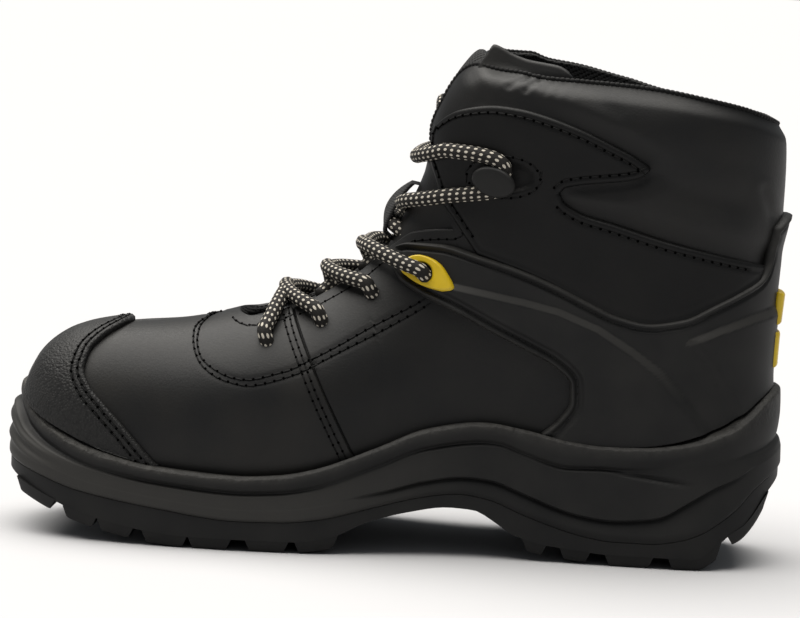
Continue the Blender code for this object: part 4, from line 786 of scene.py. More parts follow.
@dataclass(frozen=True)
class Knit:
    """Knitted mesh or woven cloth in straight rows."""

    name: str
    low: Colour = (0.004, 0.004, 0.004)
    high: Colour = (0.024, 0.024, 0.024)
    pitch: float = 1.3
    depth: float = 0.5
    rough: float = 0.85

    def make(self) -> bpy.types.Material:
        """Material with round holes in staggered rows, painted dark inside the holes as shade."""
        n = Nodes(self.name)
        place = n.place()
        turned = n.add("Mapping", {"Vector": place, "Rotation": (0.4, 0.35, 0.3)}).outputs[0]
        inputs = {"Vector": turned, "Scale": 1.0 / (self.pitch * MM), "Randomness": 0.12}
        holes = n.add("TexVoronoi", inputs, feature="F1").outputs["Distance"]
        height = n.ramp(holes, 0.22, 0.55)
        fuzz = n.noise(place, 0.6, 3.0)
        # painted shade: the colour darkens where the holes sink
        tone = n.mix(n.math("MULTIPLY", height, n.line(fuzz, 0.6, 0.6)), self.low, self.high)
        return n.finish(tone, self.rough, n.relief(height, self.depth), Specular_IOR_Level=0.25)


@dataclass(frozen=True)
class Webbing:
    """Narrow woven tape."""

    name: str
    low: Colour = (0.006, 0.006, 0.006)
    high: Colour = (0.026, 0.026, 0.026)
    pitch: float = 0.9
    depth: float = 0.25

    def make(self) -> bpy.types.Material:
        """Material with crossing threads, painted darker between them as shade."""
        n = Nodes(self.name)
        place = n.place()
        scale = 1.0 / (self.pitch * MM) / (2.0 * math.pi) * 2.0
        along = n.add("TexWave", {"Vector": place, "Scale": scale}, bands_direction="Y").outputs[1]
        across = n.add("TexWave", {"Vector": place, "Scale": scale}, bands_direction="Z").outputs[1]
        height = n.math("MULTIPLY", along, across)
        # painted shade: the colour darkens where the weave sinks between threads
        tone = n.mix(height, self.low, self.high)
        return n.finish(tone, 0.8, n.relief(height, self.depth), Specular_IOR_Level=0.3)


@dataclass(frozen=True)
class Braid:
    """Round braided lace, black with pale flecks in staggered rows."""

    name: str
    black: Colour = (0.010, 0.009, 0.008)
    pale: Colour = (0.50, 0.46, 0.39)
    rows: int = 9
    fleck_high: float = 0.27
    fleck_long: float = 0.24

    def make(self) -> bpy.types.Material:
        """Material on the lace's own map, one unit for each fleck along and around."""
        n = Nodes(self.name)
        spot = n.add("SeparateXYZ", {0: n.add("UVMap", uv_map="braid").outputs[0]})
        shift = n.math("DIVIDE", spot.outputs[0], float(self.rows))
        along = n.math("SUBTRACT", n.math("FRACT", n.math("ADD", spot.outputs[1], shift)), 0.5)
        around = n.math("SUBTRACT", n.math("FRACT", spot.outputs[0]), 0.5)
        long = n.math("POWER", n.math("DIVIDE", along, self.fleck_long), 2.0)
        high = n.math("POWER", n.math("DIVIDE", around, self.fleck_high), 2.0)
        mask = n.ramp(n.math("ADD", long, high), 1.15, 0.75)
        fuzz = n.noise(n.place(), 0.35, 4.0)
        tone = n.mix(n.math("MULTIPLY", mask, n.line(fuzz, 0.8, 0.55)), self.black, self.pale)
        both = n.math("ADD", spot.outputs[0], spot.outputs[1])
        threads = n.math("SINE", n.math("MULTIPLY", both, 4.0 * math.pi))
        height = n.math("ADD", n.math("MULTIPLY", threads, 0.15), n.math("ADD", fuzz, mask))
        return n.finish(tone, 0.78, n.relief(height, 0.16), Specular_IOR_Level=0.25)


@dataclass(frozen=True)
class Coloured:
    """Bright moulded plastic."""

    name: str
    colour: Colour = (0.56, 0.39, 0.008)
    shade: Colour = (0.49, 0.335, 0.006)
    rough: float = 0.38

    def make(self) -> bpy.types.Material:
        """Material with a slight change of tone and a fine satin skin."""
        n = Nodes(self.name)
        place = n.place()
        tone = n.mix(n.ramp(n.noise(place, 9.0), 0.3, 0.7), self.shade, self.colour)
        skin = n.noise(place, 0.5, 3.0)
        rough = n.line(skin, 0.12, self.rough - 0.06)
        return n.finish(tone, rough, n.relief(skin, 0.012), Specular_IOR_Level=0.45)


@dataclass(frozen=True)
class Thread:
    """Black sewing thread."""

    name: str
    colour: Colour = (0.0045, 0.0045, 0.0045)
    gloss: float = 0.12

    def make(self) -> bpy.types.Material:
        """Material with a twisted thread's fine bump."""
        n = Nodes(self.name)
        twist = n.noise(n.place(), 0.3, 2.0)
        return n.finish(self.colour, 0.6, n.relief(twist, 0.05), Specular_IOR_Level=self.gloss)


class Finishes:
    """Every finish of the boot, made once."""

    def __init__(self) -> None:
        """Make the materials."""
        quarter = Leather("quarter_leather", (0.0050, 0.0051, 0.0053), (0.0082, 0.0079, 0.0074))
        panel = Leather("panel_leather", (0.0036, 0.0037, 0.0039), (0.0056, 0.0055, 0.0054), gloss=0.15)
        self.vamp = Leather("vamp_leather").make()
        self.quarter = quarter.make()
        self.panel = panel.make()
        self.tongue = Leather("tongue_leather", rough=0.46).make()
        self.sole = Moulded("sole_rubber", (0.0084, 0.0085, 0.0087), (0.0135, 0.0133, 0.0128)).make()
        # the counter carries a painted highlight on its chamfers
        self.counter = Moulded("counter_plastic", rough=0.52, speck=0.4, smear=0.1, chamfer_highlight=0.34).make()
        self.hook = Moulded("hook_plastic", rough=0.48, speck=0.5, speck_depth=0.015).make()
        self.bumper = Pebbled("bumper_rubber").make()
        self.lining = Knit("lining_mesh").make()
        self.insole = Knit("insole_cloth", low=(0.012, 0.012, 0.012), pitch=1.1, depth=0.2).make()
        self.webbing = Webbing("loop_webbing").make()
        self.lace = Braid("lace_braid").make()
        self.yellow = Coloured("yellow_plastic").make()
        self.thread = Thread("black_thread").make()
        # near-black dots in the needle holes: painted shade
        self.painted_hole_shade = Thread("needle_hole_painted_shade", colour=(0.001, 0.001, 0.001), gloss=0.0).make()


STITCH_SOCKETS = (
    ("Rows", "Geometry"), ("Pitch", "Float"), ("Length", "Float"), ("Radius", "Float"), ("Hole", "Float"),
    ("Thread", "Material"), ("Shadow", "Material"),
)
# each stitch gets a bead of thread, and each needle hole a near-black sphere as painted shade
STITCH_NODES = (
    ("given", "NodeGroupInput"), ("curve", "GeometryNodeMeshToCurve"),
    ("spots", "GeometryNodeCurveToPoints"), ("turn", "FunctionNodeAlignRotationToVector"),
    ("bead", "GeometryNodeMeshUVSphere"),
    ("painted_hole_shade", "GeometryNodeMeshUVSphere"), ("half", "ShaderNodeMath"), ("middle", "ShaderNodeCombineXYZ"),
    ("both", "GeometryNodeJoinGeometry"), ("dark", "GeometryNodeSetMaterial"),
    ("stretch", "ShaderNodeMath"), ("scale", "ShaderNodeCombineXYZ"), ("shaped", "GeometryNodeTransform"),
    ("placed", "GeometryNodeInstanceOnPoints"), ("real", "GeometryNodeRealizeInstances"),
    ("smooth", "GeometryNodeSetShadeSmooth"), ("dress", "GeometryNodeSetMaterial"),
    ("result", "NodeGroupOutput"),
)
STITCH_VALUES = (
    ("bead", "Segments", 8), ("bead", "Rings", 6), ("painted_hole_shade", "Segments", 8), ("painted_hole_shade", "Rings", 6),
    ("half", 1, 0.5), ("scale", 0, 1.0), ("scale", 1, 1.0),
)
STITCH_LINKS = (
    ("given", "Rows", "curve", "Mesh"), ("curve", "Curve", "spots", "Curve"),
    ("given", "Pitch", "spots", "Length"), ("spots", "Tangent", "turn", "Vector"),
    ("given", "Radius", "bead", "Radius"),
    ("given", "Length", "stretch", 0), ("given", "Radius", "stretch", 1), ("stretch", 0, "scale", 2),
    ("bead", "Mesh", "shaped", "Geometry"), ("scale", 0, "shaped", "Scale"), ("given", "Pitch", "half", 0),
    ("half", 0, "middle", 2), ("middle", 0, "shaped", "Translation"),
    ("shaped", "Geometry", "dress", "Geometry"), ("given", "Hole", "painted_hole_shade", "Radius"),
    ("painted_hole_shade", "Mesh", "dark", "Geometry"), ("given", "Shadow", "dark", "Material"),
    ("dress", "Geometry", "both", 0), ("dark", "Geometry", "both", 0),
    ("spots", "Points", "placed", "Points"), ("both", "Geometry", "placed", "Instance"),
    ("turn", "Rotation", "placed", "Rotation"),
    ("placed", "Instances", "real", "Geometry"), ("real", "Geometry", "smooth", "Geometry"),
    ("given", "Thread", "dress", "Material"), ("smooth", "Geometry", "result", "Stitches"),
)


@dataclass
class StitchRows:
    """Rows of sewn stitches, gathered as lines on the boot and sewn at the end."""

    name: str = "stitches"
    pitch: float = 3.6
    length: float = 3.3
    radius: float = 0.34
    hole: float = 0.52

    def __post_init__(self) -> None:
        """Start with no rows."""
        self.rows: list[Array] = []

    def add(self, line: Array) -> None:
        """Add a row as points in millimetres."""
        self.rows.append(np.asarray(line, float))

    def tree(self) -> bpy.types.NodeTree:
        """Node tree that sets a stitch at every pitch along each row."""
        tree = bpy.data.node_groups.new(self.name, "GeometryNodeTree")
        for name, kind in STITCH_SOCKETS:
            tree.interface.new_socket(name, in_out="INPUT", socket_type="NodeSocket" + kind)
        tree.interface.new_socket("Stitches", in_out="OUTPUT", socket_type="NodeSocketGeometry")
        nodes = {label: tree.nodes.new(kind) for label, kind in STITCH_NODES}
        nodes["spots"].mode = "LENGTH"
        nodes["turn"].axis = "Z"
        nodes["half"].operation = "MULTIPLY"
        nodes["stretch"].operation = "DIVIDE"
        for label, socket, value in STITCH_VALUES:
            nodes[label].inputs[socket].default_value = value
        for start, output, end, socket in STITCH_LINKS:
            tree.links.new(nodes[start].outputs[output], nodes[end].inputs[socket])
        return tree

    def build(self, finishes: Finishes) -> bpy.types.Object:
        """Sew all the rows into one plain mesh."""
        data = bpy.data.meshes.new(self.name)
        points, edges = [], []
        for row in self.rows:
            first = len(points)
            points.extend(LAST.to_row(row).tolist())
            edges.extend((first + step, first + step + 1) for step in range(len(row) - 1))
        data.from_pydata(points, edges, [])
        piece = link(self.name, data)
        tree = self.tree()
        sewn = piece.modifiers.new("sew", "NODES")
        sewn.node_group = tree
        values = {
            "Pitch": self.pitch * MM,
            "Length": self.length / 2.0 * MM,
            "Radius": self.radius * MM,
            "Hole": self.hole * MM,
            "Thread": finishes.thread,
            "Shadow": finishes.painted_hole_shade,
        }
        for item in tree.interface.items_tree:
            if item.in_out == "INPUT" and item.name in values:
                sewn[item.identifier] = values[item.name]
        bpy.context.view_layer.update()
        done = bpy.data.meshes.new_from_object(piece.evaluated_get(bpy.context.evaluated_depsgraph_get()))
        piece.modifiers.clear()
        piece.data = done
        return seat(piece, Slot.LEATHER)


@dataclass(frozen=True)
class Sole:
    """Cup sole with its rim and ribs, the lugged outsole and the insole."""

    seam_fit: float = 0.2
    groove_share: float = 0.62
    groove_ends: tuple = (190, 205)
    cup_clear: float = 0.7
    stations: int = 150
    levels: int = 64
    inner_rows: int = 6
    tread_inset: float = 1.3
    toe_back: float = 1.3
    toe_back_to: float = 34.0
    lug_draft: float = 0.7
    lug_foot: float = 0.8
    lug_round: float = 1.7
    lug_root: float = 0.8
    centre_share: float = 0.36
    channel_share: float = 0.48
    edge_lugs: tuple = (
        (9, 24.4), (28.8, 41.4), (42.8, 56), (60.4, 77), (78.4, 94), (100.4, 116), (119.2, 134.6),
        (205.6, 214.2), (220.4, 231.2), (237.8, 255.4), (262, 281), (284.6, 298.6),
    )
    centre_lugs: tuple = (
        (14, 30), (36, 48), (54, 67), (73, 86), (92, 107), (113, 128), (213, 224), (230, 244), (250, 268),
        (274, 288),
    )
    tread: Table = Table("x z depth", (
        (0, 20.5, 3.6), (11, 15.5, 4), (22, 11, 4.2), (37, 6, 4.5), (50, 3, 4.5), (66, 0.7, 4.5),
        (78, 0, 4.5), (118, 0, 4.5), (127, 1, 4.5), (134, 2.6, 4.5), (140, 9.5, 0.5), (150, 14.2, 0),
        (162, 17.4, 0), (176, 19.6, 0), (186, 19, 0), (194, 15, 0), (200, 10.4, 0.5), (206, 4.8, 4),
        (212, 2.6, 4.5), (226, 1, 4.5), (238, 0, 4.5), (272, 0, 4.5), (281, 5, 5.4), (285, 9.4, 4.5),
        (289.5, 12, 4.5), (294, 17, 4.5), (298, 23.4, 4), (305, 31, 3.6),
    ))
    fold_wide: float = 1.4
    fold_deep: float = 1.7
    fold: tuple = ((236, 249.7, 260.8, 273), (37, 35.4, 34.2, 32.6))
    toe_lean: float = 4.2
    heel_lean: float = 1.6
    ledge: float = 0.9
    ledge_wide: float = 1.0
    toe_rib: float = 0.55
    toe_rib_ends: tuple = (4, 30)
    toe_rib_low: tuple = (0.15, 0.35)
    toe_rib_high: tuple = (0.8, 1)
    toe_rib_turns: float = 6.0
    ledge_drop: float = 0.4
    lean_levels: tuple = (3.6, 6)
    toe_lean_to: float = 46.0
    heel_lean_ends: tuple = (276, 303)
    wear_levels: tuple = (6.6, 8.6)
    wear_ends: tuple = (20, 80)
    wear_least: float = 0.50
    wear_toe: float = 0.45
    wear_inside: float = 0.5
    # painted light that lightens the lower forefoot wall, which lies in the rim's shade
    forefoot_painted_light: float = 0.40
    painted_light_ends: tuple = (120, 190)
    painted_light_levels: tuple = (4, 5)
    groove_levels: int = 33
    extra_levels: tuple = (4.3, 4.7, 5.3, 5.7)
    plate_across: int = 26
    lug_cells: int = 14
    sharp_angle: float = 42.0
    insole_stations: int = 70
    insole_clear: float = 0.6
    insole_thick: float = 4.0
    insole_wall: float = 3.5
    insole_edge: tuple = ((0, 1), (2, 0.4), (3.4, 0.6), (4, 1.6), (4.1, 5), (3.8, 12))
    drop: Table = Table("x z shallow", (
        (0, 7.5, 1.2), (40, 7.5, 0.9), (70, 7.5, 0.1), (110, 7.6, 0.3), (135, 7.6, 1.2), (160, 7.6, 0.9),
        (175, 7.6, 0.2), (195, 7.7, 0.7), (205, 9.5, 0.9), (217.6, 10.6, 0.6), (235, 8.8, 0.2),
        (245, 9, 0.8), (259.5, 8.6, 1.7), (274.4, 8.8, 1.9), (289.6, 13.4, 1.6), (301, 19, 1.4),
        (305, 19.4, 1.4),
    ))
    seam: Table = Table("x z", (
        (0, 28), (18.5, 23.2), (34, 19.2), (65, 14.5), (96, 11.5), (112, 11.7), (127, 13.2), (150, 19),
        (166, 23), (180, 24.8), (192, 23), (204, 18.3), (216, 14.2), (228, 11), (240, 9.5), (254, 9.5),
        (266, 11.4), (274, 14.4), (281, 18.8), (288, 24.2), (294, 30.8), (305, 38.5),
    ))
    rib: Table = Table("x share step", (
        (138, 0.42, 0), (160, 0.33, 0.9), (203.6, 0.35, 1), (234.7, 0.29, 1), (257.5, 0.35, 1),
        (268.6, 0.5, 1), (279.8, 0.6, 0.8), (294, 0.66, 0),
    ))
    wall: Table = Table("level rise above out wave", (
        (0, 0, 0, -1.3, 0), (1, 0.1, 0, -0.5, 0), (2, -0.02, 0, -0.7, -1), (3, 0.02, 0, -0.8, 0.8),
        (4, 1, -1.3, -1.4, 0), (5, 1, 0, -3, 0), (6, 1, 1.5, -0.9, 0), (7, 1, 4.2, -0.1, 0),
        (8, 0, -1.3, -0.5, 0), (9, 0, 0, -1.9, 0),
    ))

    def shares(self, count: int) -> Array:
        """Stations along the sole, closer at toe and heel."""
        return (1.0 - np.cos(np.linspace(0.0, math.pi, count + 1))) / 2.0

    def ring(self, count: int) -> list[tuple[float, Side]]:
        """Stations around the sole, toe to heel on the medial side and back."""
        share = self.shares(count)
        return [(v, Side.MEDIAL) for v in share] + [(v, Side.LATERAL) for v in share[-2:0:-1]]

    def seam_z(self, x: Array) -> Array:
        """Top of the outsole."""
        return self.seam.read("z", x)

    def groove_z(self, x: float, side: Side) -> float:
        """Height of the groove under the rim."""
        seam = self.seam.read("z", x)
        lip = LAST.lip_z(x, side)
        low = lip - self.drop.read("z", x)
        floor = (seam + self.groove_share * (lip - seam)) * fall(*self.groove_ends, x)
        return float(np.maximum(low, floor))

    def column(self, x: float, side: Side, fine: Array) -> tuple[Array, Array, Array, Array]:
        """Heights, offsets, wear and painted light up the outer wall at a place along the sole."""
        data = self.wall.data
        seam = float(self.seam_z(x)) + self.seam_fit
        groove = self.groove_z(x, side)
        lip = float(LAST.lip_z(x, side))
        rib, step = (float(self.rib.read(name, x)) for name in ("share", "step"))
        rise = data["rise"].copy()
        rise[2:4] += rib
        height = seam + rise * (groove - seam) + data["above"]
        height[8:] = lip + data["above"][8:]
        height[7] = 0.5 * (height[6] + height[8])
        out = data["out"] + data["wave"] * step
        out[5] += float(self.drop.read("shallow", x))
        z = smooth_read(data["level"], height, fine)
        offset = smooth_read(data["level"], out, fine)
        place = (z - seam) / max(groove - seam, TINY)
        toe = fall(*self.toe_rib_ends, x) * smoothstep(*self.toe_rib_low, place)
        toe = toe * fall(*self.toe_rib_high, place)
        offset = offset + self.toe_rib * toe * np.sin(place * self.toe_rib_turns * math.pi)
        ledge = bell(z - (seam + rib * (groove - seam) - self.ledge_drop), self.ledge_wide)
        offset = offset - self.ledge * step * ledge
        up = smoothstep(*self.lean_levels, fine)
        offset = offset - up * self.toe_lean * fall(0.0, self.toe_lean_to, x)
        offset = offset - up * self.heel_lean * smoothstep(*self.heel_lean_ends, x)
        fold_x, fold_z = self.fold
        crease = bell(z - np.interp(x, fold_x, fold_z), self.fold_wide)
        offset = offset - self.fold_deep * crease * smoothstep(*fold_x[:2], x) * fall(*fold_x[2:], x)
        offset = offset - self.toe_inset(x)
        worn = self.wear_least + self.wear_toe * fall(*self.wear_ends, x)
        wear = smoothstep(*self.wear_levels, fine) * worn
        # painted lightening of the forefoot wall below the groove, in place of light that the rim holds off
        painted_light = self.forefoot_painted_light * fall(*self.painted_light_ends, x) * fall(*self.painted_light_levels, fine)
        return z, offset, wear, painted_light

    def toe_inset(self, x: float) -> float:
        """How far the toe stands behind the plan's tip."""
        return self.toe_back * float(fall(0.0, self.toe_back_to, x))

    def ring_plan(self, count: int) -> tuple[Array, Array]:
        """Points of the plan around the sole and their outward ways."""
        plan = []
        for share, side in self.ring(count):
            x = share * LAST.sole_length
            plan.append((x, float(LAST.axis_y(x) + side * LAST.sole_half(x, side))))
        plan = np.array(plan)
        ahead = np.roll(plan, -1, axis=0) - np.roll(plan, 1, axis=0)
        outward = np.stack([-ahead[:, 1], ahead[:, 0]], axis=1)
        outward /= np.linalg.norm(outward, axis=1)[:, None]
        if np.sum(outward * (plan - plan.mean(axis=0))) < 0.0:
            outward = -outward
        return plan, outward

    def build_midsole(self, finishes: Finishes) -> None:
        """Outer wall with groove, rib and rim, inner wall round the upper, and both floors."""
        shape = Shape()
        groove = np.linspace(3.0, 4.0, self.groove_levels)
        fine = (np.linspace(0.0, 9.0, self.levels), np.arange(10.0), groove, self.extra_levels)
        fine = np.unique(np.round(np.concatenate(fine), 4))
        inside_rows = self.inner_rows + 1
        lines, wears, painted_lights = [], [], []
        for (share, side), (x, y), way in zip(self.ring(self.stations), *self.ring_plan(self.stations)):
            place = share * LAST.sole_length
            z, offset, wear, painted_light = self.column(place, side, fine)
            outer = np.stack([x + way[0] * offset, y + way[1] * offset, z], axis=1)
            inner = []
            for part in np.arange(inside_rows) / self.inner_rows:
                high = float(LAST.lip_z(place, side)) * (1.0 - part) + float(LAST.bed.read("z", place)) * part
                inner.append(LAST.ring_point(share, high, side, self.cup_clear))
            lines.append(np.vstack([outer, inner]))
            wears.append(np.concatenate([wear, np.full(inside_rows, self.wear_inside)]))
            painted_lights.append(np.concatenate([painted_light, np.zeros(inside_rows)]))
        index = shape.grid(np.array(lines), np.array(wears), np.array(painted_lights))
        shape.cover(index, wrap=True)
        for column in (0, -1):
            shape.bridge(index[:, column])
        seat(shape.build("midsole_cup", [finishes.sole]), Slot.SOLE, "midsole")

    def build_outsole(self, finishes: Finishes) -> None:
        """Plate from the seam down, with rounded lugs along both edges and the middle."""
        shape = Shape()
        share = even(self.plate_across, 0.4)[:, None]
        plan, outward = self.ring_plan(self.stations)
        back = np.array([self.tread_inset + self.toe_inset(spot[0]) for spot in plan])
        edge = plan - outward * back[:, None]
        rows = []
        for number, x in enumerate(self.shares(self.stations) * LAST.sole_length):
            line = edge[number] + (edge[-number] - edge[number]) * share
            high = np.column_stack([line, np.full(len(line), float(self.seam_z(x)))])
            low = np.column_stack([line[::-1], np.full(len(line), self.plate_z(x))])
            rows.append(np.vstack([high, low]))
        index = shape.grid(np.array(rows))
        shape.cover(np.column_stack([index, index[:, :1]]))
        shape.cap(index[0])
        shape.cap(index[-1])
        for start, end in self.edge_lugs:
            self.add_lug(shape, start, end, -1.0, -self.channel_share)
            self.add_lug(shape, start, end, self.channel_share, 1.0)
        for start, end in self.centre_lugs:
            self.add_lug(shape, start, end, -self.centre_share, self.centre_share)
        piece = shape.build("outsole_tread", [finishes.sole])
        piece.data.set_sharp_from_angle(angle=math.radians(self.sharp_angle))
        seat(piece, Slot.SOLE, "outsole")

    def across(self, x: float, share: float) -> float:
        """Sideways place on the outsole at a share of its half width."""
        side = Side.MEDIAL if share < 0.0 else Side.LATERAL
        reach = max(float(LAST.sole_half(x, side)) - self.tread_inset, 0.0)
        return float(LAST.axis_y(x)) + share * reach

    def plate_z(self, x: float) -> float:
        """Underside of the plate between the lugs."""
        return float(self.tread.read("z", x) + self.tread.read("depth", x))

    def add_lug(self, shape: Shape, start: float, end: float, low: float, high: float) -> None:
        """Add one lug between two places along the sole and two shares of its half width."""
        over = even(self.lug_cells, 0.7)
        grids = []
        for draft in (self.lug_draft, 0.0):
            rows = []
            trim = draft if draft else -self.lug_foot
            for part in over:
                x = start + trim + (end - start - 2.0 * trim) * part
                first = self.across(x, low) + draft
                wide = self.across(x, high) - draft - first
                edge = np.minimum(min(part, 1.0 - part) * (end - start), np.minimum(over, 1.0 - over) * wide)
                foot = float(self.tread.read("z", x)) + self.lug_round * (1.0 - dome(edge / self.lug_round))
                z = foot if draft else np.full_like(foot, self.plate_z(x) + self.lug_root)
                rows.append(np.stack([np.full_like(z, x), first + wide * over, z], axis=1))
            grids.append(shape.grid(np.array(rows)))
        shape.shell(*grids)

    def build_insole(self, finishes: Finishes) -> None:
        """Footbed with a rounded edge and a slightly dished top."""
        shape = Shape()
        clear = self.insole_clear
        lines = []
        for share, side in self.ring(self.insole_stations):
            line = []
            for rise, edge in self.insole_edge:
                z = float(LAST.bed.read("z", share * LAST.sole_length)) + clear + min(rise, self.insole_thick)
                point = LAST.ring_point(share, z, side, -(self.insole_wall + clear + edge))
                line.append((point[0], point[1], float(LAST.bed_z(point[0])) + clear + rise))
            lines.append(line)
        index = shape.grid(np.array(lines))
        shape.cover(index, wrap=True)
        for column in (0, -1):
            shape.bridge(index[:, column])
        seat(shape.build("insole_bed", [finishes.insole]), Slot.INSOLE, "insole")


@dataclass(frozen=True)
class Sheet:
    """Sheet with a rounded edge laid over the last."""

    foot: float
    top: float
    edge: float = 0.45
    edge_round: float = 2.0
    edge_wear: float = 0.35
    wear_at: float = 0.6
    wear_wide: float = 1.2

    def lay(self, shape: Shape, x: Array, z: Array, side: Side, border: Array, relief: Array = 0.0,
            painted_light: Array = 0.0) -> Array:
        """Add the outer face of the sheet and its foot along the border.

        Args:
            shape: where the faces go.
            x: places along the boot, lines by rows.
            z: heights of the same shape.
            side: side of the boot.
            border: line on the skin from which the edge is rounded.
            relief: what is added to the outer face.
            painted_light: how much painted highlight each point carries.

        Returns:
            The index of the outer points and that of the inner ones, stacked.
        """
        away = line_distance(border, LAST.skin(x, z, side))
        thick = self.top - self.foot
        lift = self.foot + thick * (self.edge + (1.0 - self.edge) * dome(away / self.edge_round)) + relief
        wear = self.edge_wear * bell(away - self.wear_at, self.wear_wide)
        outer = shape.grid(LAST.skin(x, z, side, lift), wear, painted_light)
        inner = shape.grid(LAST.skin(x, z, side, self.foot))
        shape.cover(outer)
        shape.cover(inner)
        return np.stack([outer, inner])


@dataclass(frozen=True)
class ToeBumper:
    """Pebbled rubber bumper over the toe."""

    sheet: Sheet = Sheet(foot=-0.4, top=2.5, edge=0.6, edge_round=1.2)
    bias: float = 1.7
    fade: float = 2.0
    across: int = 46
    refine: int = 4
    rim: float = 0.35
    seam_rows: tuple = (2.2, 4.6)
    seam_wide: float = 1.2
    rows: Table = Table("ridge_z x z steps", (
        (57.3, 65.4, 30, 0), (61.5, 57.6, 38, 2), (67.2, 50.2, 45.6, 2), (72.3, 42.8, 52.6, 2),
        (75.6, 36.6, 59, 2), (77.7, 33.8, 65, 2), (79.4, 35, 71, 2), (80.9, 40.6, 77.2, 1),
        (81.65, 47, 81, 1),
    ))

    def lines(self, side: Side) -> tuple[Array, Array]:
        """Hoops in side view, each from the middle to its rear edge, rim to crown."""
        ridge, rear_x, rear_z = self.rows.stretch("ridge_z x z", self.rows.stations(self.refine))
        low = float(LAST.above_rim(LAST.toe_x, side))
        ridge = np.maximum(ridge, low)
        ridge[0] = low
        rear_z[0] = float(LAST.above_rim(rear_x[0], side))
        share = np.linspace(0.0, 1.0, self.across + 1)
        share = (0.35 * share + 0.65 * (1.0 - (1.0 - share) ** 1.6)) ** self.bias
        x = blend(LAST.front_x(ridge), rear_x, share)
        z = blend(ridge, rear_z, share)
        bow = LAST.above_rim(x[0], side) - z[0]
        bow[0] = 0.0
        return x, z + bow * np.linspace(1.0, 0.0, len(ridge))[:, None] ** self.fade

    def build(self, finishes: Finishes, stitches: StitchRows) -> None:
        """Bumper with a raised rear rim and two rows of stitches along it."""
        shape = Shape()
        for side in Side:
            x, z = self.lines(side)
            points = LAST.skin(x, z, side)
            border = np.vstack([points[:, -1], points[-1, ::-1]])
            away = line_distance(border, points)
            near, far = self.seam_rows
            relief = self.rim * (-bell(away - near, self.seam_wide) - bell(away - far, self.seam_wide))
            outer, inner = self.sheet.lay(shape, x, z, side, border, relief)
            for pick in ((slice(None), -1), 0, -1):
                shape.strip(outer[pick], inner[pick])
            for depth in self.seam_rows:
                stitches.add(LAST.trace(contour(x, z, away, depth), side, self.sheet.top - 0.1))
        seat(shape.build("toe_bumper_rubber", [finishes.bumper]), Slot.BUMPER, "toe_bumper")


